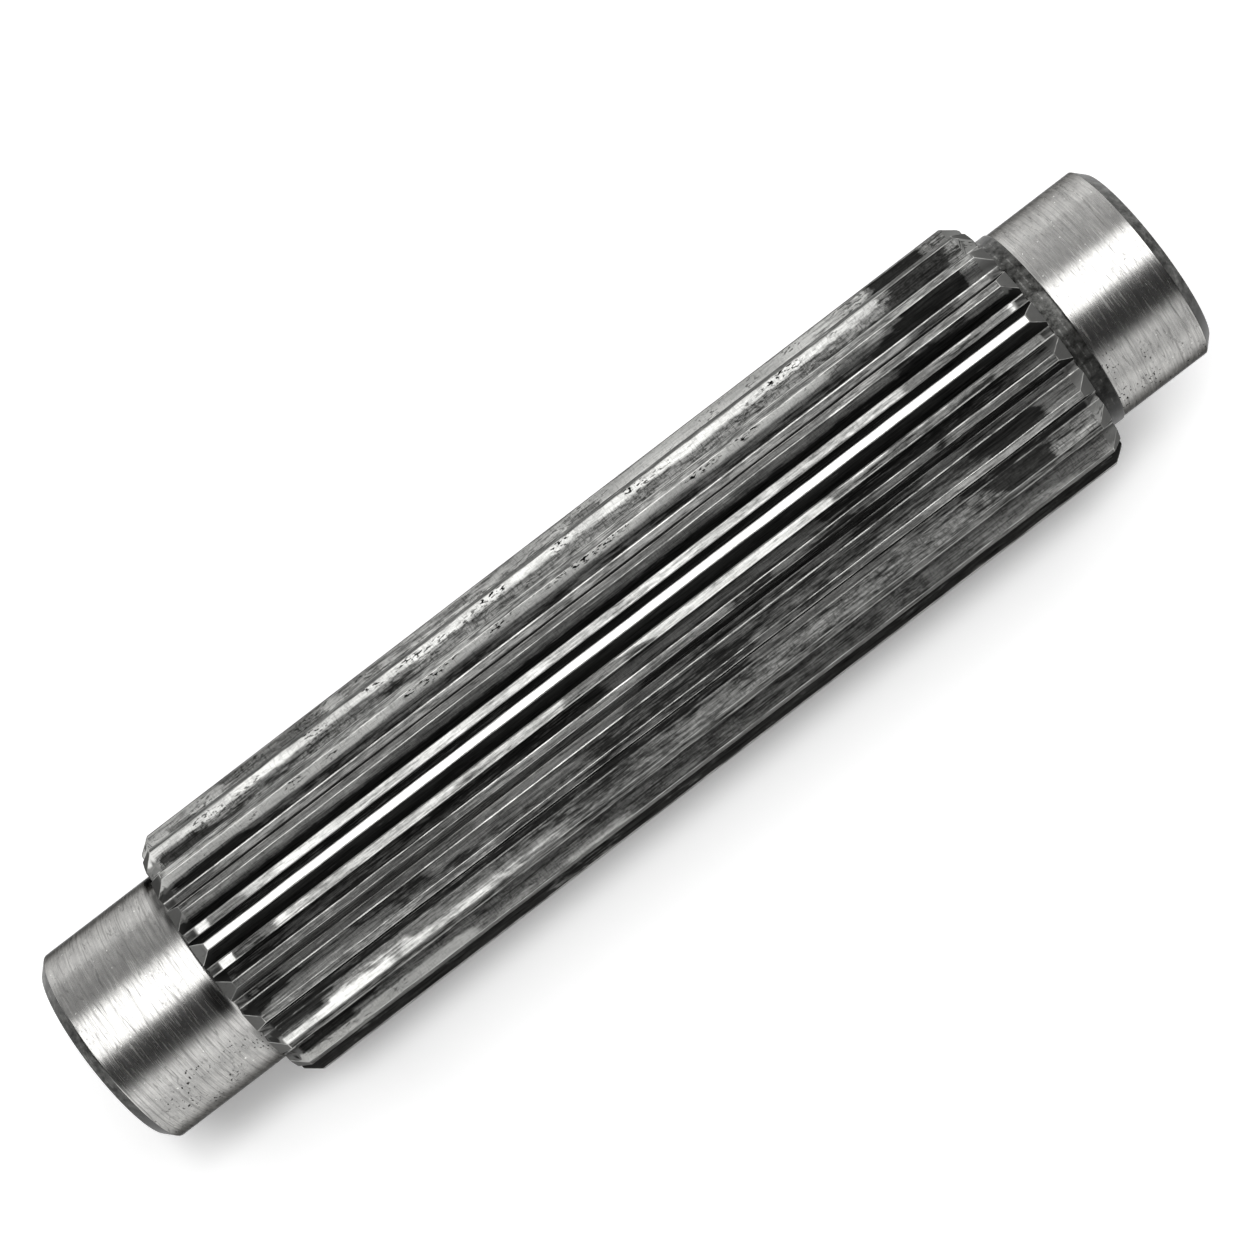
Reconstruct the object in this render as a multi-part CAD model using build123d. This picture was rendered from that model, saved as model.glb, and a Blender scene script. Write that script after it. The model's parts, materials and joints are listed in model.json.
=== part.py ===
from build123d import *
from math import acos, cos, hypot, radians, sin, tan
import os

# A splined shaft, turned and milled from one steel bar: a long run of straight teeth with a plain
# round journal at each end. Sizes are in millimetres. The shaft's axis is X, +Z is up, and the
# origin is on the axis, half way along the shaft.

NODE_NAME = "splined_shaft"

# Lengths along the axis.
SHAFT_LENGTH = 231.0
LEFT_JOURNAL_LENGTH = 27.0
SPLINE_LENGTH = 180.0
COLLAR_LENGTH = 3.5            # unground strip between the spline and the right journal

# Journals.
JOURNAL_RADIUS = 20.0
COLLAR_RADIUS = 20.25          # the strip keeps the grinding allowance
JOURNAL_CHAMFER = 2.0
LEFT_SHOULDER_FILLET = 1.0
RIGHT_SHOULDER_FILLET = 0.5

# Spline teeth: involute flanks between a root circle and a tip circle.
TOOTH_COUNT = 20
TIP_RADIUS = 26.0
ROOT_RADIUS = 23.0
BASE_RADIUS = 19.5             # base circle that the involute unwinds from
TIP_HALF_ANGLE = 1.55          # degrees from a tooth's centre line to the edge of its top land
ROOT_CORNER_FILLET = 0.3

# Tooth ends: each tooth is chamfered, and each root land runs out down a short ramp.
TOOTH_CHAMFER_LENGTH = 2.5     # along the axis
TOOTH_CHAMFER_BASE_RADIUS = 24.1
RAMP_LENGTH = 2.0              # along the axis
RAMP_FOOT_RADIUS = 22.0
RAMP_HALF_WIDTH = 0.65

# How far the chamfer envelope stays clear of the tips, how far a ramp cutter runs past its ramp, and
# how near two lengths have to be to count as the same.
ENVELOPE_CLEARANCE = 1.0
CUTTER_OVERRUN = 0.5
SAME_LENGTH = 0.001

# Values that follow from the ones above.
LEFT_END = -SHAFT_LENGTH / 2
RIGHT_END = SHAFT_LENGTH / 2
SPLINE_START = LEFT_END + LEFT_JOURNAL_LENGTH
SPLINE_END = SPLINE_START + SPLINE_LENGTH
COLLAR_END = SPLINE_END + COLLAR_LENGTH
TOOTH_PITCH = 360 / TOOTH_COUNT
MIDDLE_RADIUS = (ROOT_RADIUS + TIP_RADIUS) / 2
CHAMFER_SLOPE = (TIP_RADIUS - TOOTH_CHAMFER_BASE_RADIUS) / TOOTH_CHAMFER_LENGTH
RAMP_SLOPE = (ROOT_RADIUS - RAMP_FOOT_RADIUS) / RAMP_LENGTH


def on_circle(radius, angle):
    """A point of the tooth profile, at an angle in degrees from the profile's first axis."""
    return (radius * cos(radians(angle)), radius * sin(radians(angle)))


def involute_angle(radius):
    """The involute function, in degrees, of the pressure angle that a radius has."""
    pressure_angle = acos(BASE_RADIUS / radius)
    return (tan(pressure_angle) - pressure_angle) / radians(1)


def flank_half_angle(radius):
    """Degrees from a tooth's centre line to its flank at a radius."""
    return TIP_HALF_ANGLE + involute_angle(TIP_RADIUS) - involute_angle(radius)


def flank(tooth_angle, side):
    """One flank from root to tip, as the arc through three points of the involute."""
    radii = [ROOT_RADIUS, MIDDLE_RADIUS, TIP_RADIUS]
    points = [on_circle(r, tooth_angle + side * flank_half_angle(r)) for r in radii]
    return ThreePointArc(*points)


def land(radius, start_angle, end_angle):
    """A tip land or a root land, as an arc about the shaft's axis."""
    middle_angle = (start_angle + end_angle) / 2
    points = [on_circle(radius, a) for a in (start_angle, middle_angle, end_angle)]
    return ThreePointArc(*points)


def tooth_profile():
    """The spline's whole cross-section. No tooth is at the bottom: the shaft rests on two."""
    root_half_angle = flank_half_angle(ROOT_RADIUS)
    edges = []
    for number in range(TOOTH_COUNT):
        tooth_angle = (number + 0.5) * TOOTH_PITCH
        next_root = tooth_angle + TOOTH_PITCH - root_half_angle
        edges.append(flank(tooth_angle, -1))
        edges.append(land(TIP_RADIUS, tooth_angle - TIP_HALF_ANGLE, tooth_angle + TIP_HALF_ANGLE))
        edges.append(flank(tooth_angle, 1))
        edges.append(land(ROOT_RADIUS, tooth_angle + root_half_angle, next_root))
    outline = make_face(edges)
    root_corners = outline.vertices().filter_by(lambda v: hypot(v.X, v.Y) < MIDDLE_RADIUS)
    return fillet(root_corners, ROOT_CORNER_FILLET)


def turned(points):
    """A solid turned about the shaft's axis from (x, radius) points."""
    half_section = Plane.XZ * make_face(Polyline(*points, close=True))
    return revolve(half_section, Axis.X)


def chamfer_envelope():
    """The turned shape that the tooth chamfers belong to, wider than the teeth between them."""
    clear_radius = TIP_RADIUS + ENVELOPE_CLEARANCE
    reach = (clear_radius - TOOTH_CHAMFER_BASE_RADIUS) / CHAMFER_SLOPE
    return turned([
        (SPLINE_START, 0),
        (SPLINE_START, TOOTH_CHAMFER_BASE_RADIUS),
        (SPLINE_START + reach, clear_radius),
        (SPLINE_END - reach, clear_radius),
        (SPLINE_END, TOOTH_CHAMFER_BASE_RADIUS),
        (SPLINE_END, 0),
    ])


def ramp_cutter(end_x, inward):
    """The wedge that cuts the topmost ramp at one end. inward is +1 or -1 along X."""
    overrun_height = RAMP_SLOPE * CUTTER_OVERRUN
    foot = (end_x - inward * CUTTER_OVERRUN, RAMP_FOOT_RADIUS - overrun_height)
    top = (end_x + inward * (RAMP_LENGTH + CUTTER_OVERRUN), ROOT_RADIUS + overrun_height)
    corner = (foot[0], top[1])
    triangle = Plane.XZ * make_face(Polyline(foot, top, corner, close=True))
    return extrude(triangle, amount=RAMP_HALF_WIDTH, both=True)


def spline():
    """The toothed length, with its chamfered tooth ends and root ramps."""
    start_plane = Plane((SPLINE_START, 0, 0), x_dir=(0, 1, 0), z_dir=(1, 0, 0))
    blank = extrude(start_plane * tooth_profile(), amount=SPLINE_LENGTH)
    chamfered = blank & chamfer_envelope()
    cutters = []
    for number in range(TOOTH_COUNT):
        for end_x, inward in ((SPLINE_START, 1), (SPLINE_END, -1)):
            cutters.append(Rot(X=number * TOOTH_PITCH) * ramp_cutter(end_x, inward))
    return chamfered - cutters


def journals():
    """The two journals and the unground collar, with a core that runs through the spline."""
    return turned([
        (LEFT_END, 0),
        (LEFT_END, JOURNAL_RADIUS - JOURNAL_CHAMFER),
        (LEFT_END + JOURNAL_CHAMFER, JOURNAL_RADIUS),
        (SPLINE_END, JOURNAL_RADIUS),
        (SPLINE_END, COLLAR_RADIUS),
        (COLLAR_END, COLLAR_RADIUS),
        (COLLAR_END, JOURNAL_RADIUS),
        (RIGHT_END - JOURNAL_CHAMFER, JOURNAL_RADIUS),
        (RIGHT_END, JOURNAL_RADIUS - JOURNAL_CHAMFER),
        (RIGHT_END, 0),
    ])


def shoulder_edge(shaft, shoulder_x, radius):
    """The circle where a journal or the collar meets the end face of the spline."""
    circles = shaft.edges().filter_by(GeomType.CIRCLE)
    at_shoulder = circles.filter_by(lambda e: abs(e.arc_center.X - shoulder_x) < SAME_LENGTH)
    return at_shoulder.filter_by(lambda e: abs(e.radius - radius) < SAME_LENGTH)


def splined_shaft():
    """The finished shaft, one solid."""
    shaft = spline() + journals()
    left = shoulder_edge(shaft, SPLINE_START, JOURNAL_RADIUS)
    shaft = fillet(left, LEFT_SHOULDER_FILLET)
    right = shoulder_edge(shaft, SPLINE_END, COLLAR_RADIUS)
    return fillet(right, RIGHT_SHOULDER_FILLET)


os.makedirs("parts", exist_ok=True)
shaft = splined_shaft()
print(f"{NODE_NAME}: {len(shaft.solids())} solid, {shaft.volume / 1000:.1f} cubic centimetres")
export_step(shaft, f"parts/{NODE_NAME}.step")
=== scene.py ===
# %% [markdown]
# # A splined shaft
#
# The object is a steel shaft, turned from one bar. Twenty straight teeth are cut along its middle, and a
# plain round journal is left at each end for a bearing. The journals are ground bright. The teeth still
# carry the dark skin of heat treatment, and use has worn that skin through to bright steel in long,
# ragged patches.
#
# The shaft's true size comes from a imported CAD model. This script loads that model as a fixed frame and
# builds one detailed piece in the same place, with rounded edges, small nicks and worn finishes.

import json
from math import acos, cos, pi, radians, sin, tan

import bpy
import numpy as np
from mathutils import Euler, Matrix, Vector


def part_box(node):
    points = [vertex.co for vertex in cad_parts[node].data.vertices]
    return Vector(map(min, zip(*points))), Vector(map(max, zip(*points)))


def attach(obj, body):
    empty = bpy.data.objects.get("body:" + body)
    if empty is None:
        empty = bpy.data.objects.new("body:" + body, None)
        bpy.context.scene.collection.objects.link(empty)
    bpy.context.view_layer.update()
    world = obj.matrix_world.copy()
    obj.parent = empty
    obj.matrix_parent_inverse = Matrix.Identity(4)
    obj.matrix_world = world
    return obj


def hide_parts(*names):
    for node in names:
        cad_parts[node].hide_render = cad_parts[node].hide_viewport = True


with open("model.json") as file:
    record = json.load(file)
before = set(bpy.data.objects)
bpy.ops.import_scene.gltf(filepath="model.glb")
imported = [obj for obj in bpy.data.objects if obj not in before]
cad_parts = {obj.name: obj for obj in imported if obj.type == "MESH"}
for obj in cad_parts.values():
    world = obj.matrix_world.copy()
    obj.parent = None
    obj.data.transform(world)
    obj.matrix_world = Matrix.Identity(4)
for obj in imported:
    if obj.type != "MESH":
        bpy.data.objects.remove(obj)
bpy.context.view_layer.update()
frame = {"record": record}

# %% [markdown]
# ## Driving dimensions
#
# A machinist's drawing of this shaft gives a dozen numbers, and everything else follows from them. They
# are kept in millimetres, because that is how a shaft is drawn, and one factor turns them into Blender's
# metres. The ends and the journal come straight from the frame, so that they can't drift from the CAD.

# %% Sizes of the shaft
MM = 0.001

NODE = "splined_shaft"
node_low, node_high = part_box(NODE)
mounts = {mount["name"]: mount for mount in frame["record"]["mounts"]}

LEFT_END = node_low.x / MM
RIGHT_END = node_high.x / MM
JOURNAL_RADIUS = mounts["left_journal"]["dims"]["r_mm"]
LEFT_JOURNAL_LENGTH = 27.0
SPLINE_LENGTH = 180.0
COLLAR_LENGTH = 3.5
COLLAR_RADIUS = 20.25
JOURNAL_CHAMFER = 2.0
LEFT_FILLET = 1.0
RIGHT_FILLET = 0.5

TOOTH_COUNT = 20
TIP_RADIUS = 26.0
ROOT_RADIUS = 23.0
BASE_RADIUS = 19.5
TIP_HALF_ANGLE = radians(1.55)

TOOTH_CHAMFER_LENGTH = 2.5
TOOTH_CHAMFER_BASE = 24.1
RAMP_LENGTH = 2.0
RAMP_FOOT = 22.0
RAMP_HALF_WIDTH = 0.65

SPLINE_START = LEFT_END + LEFT_JOURNAL_LENGTH
SPLINE_END = SPLINE_START + SPLINE_LENGTH
COLLAR_END = SPLINE_END + COLLAR_LENGTH
HALF_PITCH = pi / TOOTH_COUNT

print(f"spline from {SPLINE_START} to {SPLINE_END} mm, journal radius {JOURNAL_RADIUS} mm")

# %% [markdown]
# ## The camera
#
# The shaft is seen from almost straight above, turned so that it runs from the lower left to the upper
# right, through a lens that is long for its distance. A long lens keeps the teeth nearly parallel. The
# camera comes first, because the light is set by what it sees.

# %% Camera
CAMERA_PLACE_MM = (12.12, 5.96, 603.8)
CAMERA_TILT_DEGREES = (-0.219, 0.829, -37.41)
LENS_MM = 98.2
SENSOR_MM = 36.0

camera_data = bpy.data.cameras.new("Camera")
camera_data.lens = LENS_MM
camera_data.sensor_width = SENSOR_MM
camera_data.clip_start = 0.01
camera_data.clip_end = 20.0
camera = bpy.data.objects.new("Camera", camera_data)
camera.location = Vector(CAMERA_PLACE_MM) * MM
camera.rotation_mode = "ZYX"
camera.rotation_euler = Euler([radians(a) for a in CAMERA_TILT_DEGREES], "ZYX")
bpy.context.scene.collection.objects.link(camera)
bpy.context.scene.camera = camera
print("camera height, mm:", round(camera.location.z / MM))

# %% [markdown]
# ## One function for nodes
#
# Both the shape and the finishes are built from nodes. This helper adds one node, sets its options and
# fills its inputs. An input can be a plain value, a socket, or a whole node, which stands for its first
# output. The last two are linked.

# %% Node helper and colours
def add_node(tree, kind, inputs=None, **settings):
    """Adds a node. inputs maps a socket's name or number to a value, a socket or a node."""
    node = tree.nodes.new(kind)
    for name, value in settings.items():
        setattr(node, name, value)
    for key, value in (inputs or {}).items():
        if isinstance(value, bpy.types.Node):
            value = value.outputs[0]
        if isinstance(value, bpy.types.NodeSocket):
            tree.links.new(value, node.inputs[key])
        else:
            node.inputs[key].default_value = value
    return node


def colour(hex_value):
    """An sRGB hex colour such as "8a8a88", as the linear colour that a shader wants."""
    parts = [int(hex_value[i:i + 2], 16) / 255 for i in (0, 2, 4)]
    linear = [c / 12.92 if c <= 0.04045 else ((c + 0.055) / 1.055) ** 2.4 for c in parts]
    return (*linear, 1.0)


print("the hex colour 808080 is", round(colour("808080")[0], 3), "in linear light")


# %% [markdown]
# ## One tooth's section
#
# Each flank is an involute, the curve that a taut string draws as it unwinds from a circle. The cutter
# that makes splines works along that curve, so the flanks bulge slightly. Real edges are never sharp: the
# tips are broken by a fraction of a millimetre, and the root has a small fillet. Those two roundings
# catch the light as thin bright lines, so they are real geometry here.
#
# The section is half a tooth, from its centre line to the middle of the root, and is mirrored later.
# Points are pairs: how far to the side of the centre line, and how far out from the shaft's axis.

# %% Curves of a flank
def polar(radius, angle):
    return np.array((radius * sin(angle), radius * cos(angle)))


def involute(radius):
    """The involute function of a radius: how far the flank has turned since the base circle."""
    pressure_angle = acos(BASE_RADIUS / radius)
    return tan(pressure_angle) - pressure_angle


def flank_point(radius):
    angle = TIP_HALF_ANGLE + involute(TIP_RADIUS) - involute(radius)
    return polar(radius, angle)


def towards(start, end, distance):
    return start + (end - start) * distance / np.linalg.norm(end - start)


def rounded(before, corner, after, reach, count):
    """count points that round a corner, from reach before it to reach after it."""
    start = towards(corner, before, reach)
    end = towards(corner, after, reach)
    steps = np.linspace(0, 1, count)[:, None]
    return (1 - steps) ** 2 * start + 2 * steps * (1 - steps) * corner + steps ** 2 * end


flank_turn = np.degrees(involute(TIP_RADIUS) - involute(ROOT_RADIUS))
print(f"a flank turns {flank_turn:.2f} degrees round the axis from its root to its tip")

# %% Half a tooth's section
TIP_BREAK = 0.13               # how far the rounding of a tip edge reaches from the sharp corner
ROOT_FILLET = 0.20
TIP_POINTS, ROOT_POINTS = 4, 3   # how many points round each of the two
SUPPORT_GAP = 0.10             # a row of points this near a rounding keeps the flat beside it flat
FLANK_SHARES = (0.30, 0.62)    # two more points down the flank
CHORD = 0.3                    # this much of the flank gives its direction at a corner
WALL_LEAN = 0.06               # the ramp's side walls lean by this much


def half_section(tip_radius, ramp_drop):
    """Half a tooth from its centre line to the middle of the root, cut off at tip_radius."""
    tip_corner = flank_point(tip_radius)
    root_corner = flank_point(ROOT_RADIUS)
    land_middle = polar(tip_radius, 0)
    below_tip = flank_point(tip_radius - CHORD)
    above_root = flank_point(ROOT_RADIUS + CHORD)
    wall_top = polar(ROOT_RADIUS, HALF_PITCH - RAMP_HALF_WIDTH / ROOT_RADIUS)
    floor_radius = ROOT_RADIUS - ramp_drop
    wall_foot = polar(floor_radius, HALF_PITCH - (RAMP_HALF_WIDTH - WALL_LEAN) / ROOT_RADIUS)
    height = tip_radius - ROOT_RADIUS
    points = [land_middle, towards(tip_corner, land_middle, TIP_BREAK + SUPPORT_GAP)]
    points.extend(rounded(land_middle, tip_corner, below_tip, TIP_BREAK, TIP_POINTS))
    points.append(towards(tip_corner, below_tip, TIP_BREAK + SUPPORT_GAP))
    points.extend(flank_point(tip_radius - share * height) for share in FLANK_SHARES)
    points.extend(rounded(above_root, root_corner, wall_top, ROOT_FILLET, ROOT_POINTS))
    points.append(wall_top)
    points.append(wall_foot)
    points.append(polar(floor_radius, HALF_PITCH))
    return np.array(points)


def whole_section(tip_radius, ramp_drop):
    """The section of one whole tooth with half a root on each side, from side to side."""
    half = half_section(tip_radius, ramp_drop)
    mirrored = half[:0:-1] * (-1, 1)
    return np.concatenate((mirrored, half))


section = whole_section(TIP_RADIUS, 0.0)
COLUMNS = len(section)
TIP_COLUMN = 4                 # counted from the middle of the land: the tip edge,
SUPPORT_COLUMN = 6             # the last point that wear of the land may move,
ROOT_COLUMN = 10               # and the corner of the root
print(f"one tooth's section has {COLUMNS} points and is {np.ptp(section[:, 0]):.2f} mm wide")

# %% [markdown]
# ## The sections along the shaft
#
# The piece is drawn as a stack of sections from the left end to the right end, one tooth wide. On the
# round parts a section is an arc. Where the teeth end they are chamfered, so the section is cut off lower
# and lower, and the root runs out down a short ramp. Sections lie close together where an edge is
# rounded, and far apart where nothing changes.

# %% Arcs and insets
FINISH_FACED, FINISH_DARK, FINISH_GROUND, FINISH_WORN = range(4)


def inset(points, distance):
    """The same section with every point moved into the metal by a distance."""
    along = np.empty_like(points)
    along[1:-1] = points[2:] - points[:-2]
    along[0] = (points[0][1], -points[0][0])
    along[-1] = (points[-1][1], -points[-1][0])
    along /= np.linalg.norm(along, axis=1)[:, None]
    outward = np.stack((-along[:, 1], along[:, 0]), axis=1)
    return points - outward * distance


def ring(radius):
    """An arc of one tooth's width, for the round parts."""
    angles = np.linspace(-HALF_PITCH, HALF_PITCH, COLUMNS)
    return np.stack((radius * np.sin(angles), radius * np.cos(angles)), axis=1)


print(f"a journal's share of one tooth is {np.ptp(ring(JOURNAL_RADIUS)[:, 0]):.2f} mm wide")

# %% The chamfered ends of the teeth
EDGE_BREAK = 0.08              # rounding of the spline's end faces
EDGE_SUPPORT = 0.12            # a row this far inside the rounding keeps the end face flat
BLEND = 0.05                   # softens the corner where a chamfer or a ramp starts
CHAMFER_STEPS = (0.25, 0.9, 1.5)   # down the chamfer, then round the ramp's top, then round the chamfer's
RAMP_STEPS = (-0.15, -0.03, 0.05, 0.2)
LAND_STEPS = (-0.12, -0.04, 0.04, 0.12, 0.3, 0.9)


def soft_min(a, b):
    return 0.5 * (a + b - np.hypot(a - b, BLEND))


def tooth_end(end_x, inward):
    """Sections of the chamfered end of the teeth, from the end face inwards. inward is +1 or -1."""
    stack = []
    chamfer_slope = (TIP_RADIUS - TOOTH_CHAMFER_BASE) / TOOTH_CHAMFER_LENGTH
    ramp_slope = (ROOT_RADIUS - RAMP_FOOT) / RAMP_LENGTH
    depths = [0, 0, 0.3 * EDGE_BREAK, EDGE_BREAK, *CHAMFER_STEPS]
    insets = [EDGE_BREAK + EDGE_SUPPORT, EDGE_BREAK, 0.3 * EDGE_BREAK]
    depths += [RAMP_LENGTH + step for step in RAMP_STEPS]
    depths += [TOOTH_CHAMFER_LENGTH + step for step in LAND_STEPS]
    insets += [0] * (len(depths) - len(insets))
    for depth, into in zip(depths, insets):
        tip = soft_min(TIP_RADIUS, TOOTH_CHAMFER_BASE + chamfer_slope * depth)
        drop = -soft_min(0, (depth - RAMP_LENGTH) * ramp_slope)
        points = inset(whole_section(tip, drop), into)
        stack.append((end_x + inward * depth, points, FINISH_WORN))
    return stack


left_teeth = tooth_end(SPLINE_START, 1)
right_teeth = tooth_end(SPLINE_END, -1)[::-1]
print(f"each end of the teeth takes {len(left_teeth)} sections")

# %% Turned outlines and fillets
TURNED_BREAK = 0.15            # rounding of the left end's turned corners
COLLAR_BREAK = 0.10            # the right end's are tighter, so that the collar's low step stays crisp
BEND_POINTS = 4                # how many sections round one corner
LONGEST_RING_STEP = 30.0
FILLET_POINTS = 6
FACE_RING = 0.45               # a ring this far outside a fillet keeps the spline's end face flat


def turned(corners, finishes, reach):
    """Sections of a turned outline: (x, radius) corners, rounded, with one finish for each run."""
    path, labels = [np.array(corners[0], float)], []
    for number, corner in enumerate(corners[1:-1], start=1):
        before, here, after = (np.array(p, float) for p in corners[number - 1:number + 2])
        bend = rounded(before, here, after, reach, BEND_POINTS)
        support = towards(here, before, reach + SUPPORT_GAP)
        beyond = towards(here, after, reach + SUPPORT_GAP)
        path.extend((support, *bend, beyond))
        half_bend = (BEND_POINTS + 2) // 2
        labels.extend([finishes[number - 1]] * half_bend + [finishes[number]] * half_bend)
    path.append(np.array(corners[-1], float))
    labels.append(finishes[-1])
    stack = []
    for start, end, finish in zip(path, path[1:], labels):
        steps = max(1, round(np.linalg.norm(end - start) / LONGEST_RING_STEP))
        for step in range(steps):
            x, radius = start + (end - start) * step / steps
            stack.append((x, ring(radius), finish))
    stack.append((path[-1][0], ring(path[-1][1]), finishes[-1]))
    return stack


def fillet(end_x, outward, journal_radius, radius, finish):
    """Sections of the fillet between a journal and the spline's end face, from the face outwards."""
    stack = [(end_x, ring(journal_radius + radius + FACE_RING), finish)]
    for turn in np.linspace(0, pi / 2, FILLET_POINTS):
        x = end_x + outward * radius * (1 - cos(turn))
        stack.append((x, ring(journal_radius + radius * (1 - sin(turn))), finish))
    return stack


left_fillet = fillet(SPLINE_START, -1, JOURNAL_RADIUS, LEFT_FILLET, FINISH_GROUND)[::-1]
right_fillet = fillet(SPLINE_END, 1, COLLAR_RADIUS, RIGHT_FILLET, FINISH_DARK)
print(f"each fillet takes {len(left_fillet)} sections")

# %% The left journal
SHADE_STEPS = (2.7, 2.3, 1.9, 1.3, 0.9, 0.5, 0.1)   # closer rings beside the shoulder, where shade is painted
FLAT_START = 0.6               # the faced ends start this far from the axis, closed by a fan of triangles

left_part = turned(
    [
        (LEFT_END, FLAT_START),
        (LEFT_END, JOURNAL_RADIUS - JOURNAL_CHAMFER),
        (LEFT_END + JOURNAL_CHAMFER, JOURNAL_RADIUS),
        (SPLINE_START - LEFT_FILLET - SHADE_STEPS[0], JOURNAL_RADIUS),
    ],
    [FINISH_FACED, FINISH_DARK, FINISH_GROUND],
    TURNED_BREAK,
)
for step in SHADE_STEPS[1:]:
    left_part.append((SPLINE_START - LEFT_FILLET - step, ring(JOURNAL_RADIUS), FINISH_GROUND))
left_part += left_fillet
print(f"the left journal takes {len(left_part)} sections")

# %% The collar and the right journal
COLLAR_STEP = COLLAR_RADIUS - JOURNAL_RADIUS

right_part = right_fillet + turned(
    [
        (SPLINE_END + RIGHT_FILLET + SUPPORT_GAP, COLLAR_RADIUS),
        (COLLAR_END, COLLAR_RADIUS),
        (COLLAR_END + COLLAR_STEP, JOURNAL_RADIUS),
        (RIGHT_END - JOURNAL_CHAMFER, JOURNAL_RADIUS),
        (RIGHT_END, JOURNAL_RADIUS - JOURNAL_CHAMFER),
        (RIGHT_END, FLAT_START),
    ],
    [FINISH_DARK, FINISH_DARK, FINISH_GROUND, FINISH_DARK, FINISH_FACED],
    COLLAR_BREAK,
)
print(f"the collar and the right journal take {len(right_part)} sections")

# %% The whole stack of sections
MIDDLE_STEPS = 72
MIDDLE_MARGIN = 5.0            # the even steps start this far from the teeth's two ends
END_STEPS = (0.5, 1.0, 1.5, 2.0, 2.7, 3.5)   # closer sections where the teeth begin and end

first_x, last_x = left_teeth[-1][0], right_teeth[0][0]
middle_x = [first_x + step for step in END_STEPS]
middle_x += list(np.linspace(first_x + MIDDLE_MARGIN, last_x - MIDDLE_MARGIN, MIDDLE_STEPS))
middle_x += [last_x - step for step in reversed(END_STEPS)]
middle = [(x, whole_section(TIP_RADIUS, 0.0), FINISH_WORN) for x in middle_x]
stack = left_part + left_teeth + middle + right_teeth + right_part
print(f"{len(stack)} sections of {COLUMNS} points")

# %% [markdown]
# ## The sector as a mesh
#
# Neighbouring sections are joined by four-sided faces. Each point also carries what the finishes need to
# know: how far it lies across and along the unrolled surface, whether it is on a tip edge or in a root
# corner, and how far wear may move it. Those values are attributes, and they travel with the mesh.

# %% Where wear may reach
CALM_LENGTH = 4.0              # wear grows from nothing over this length, so that the chamfers stay crisp
CORNER_REACH = 0.06            # sections this near the chamfer's inner corner count as its edge
CHAMFER_MARGIN = 0.05          # the plain ends reach this far past the chamfer


def put(mesh, name, kind, domain, values):
    """Stores one value for each point or face under a name."""
    attribute = mesh.attributes.new(name, kind, domain)
    attribute.data.foreach_set("value", values)


print(f"wear grows from nothing over {CALM_LENGTH} mm beside each chamfer")


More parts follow.
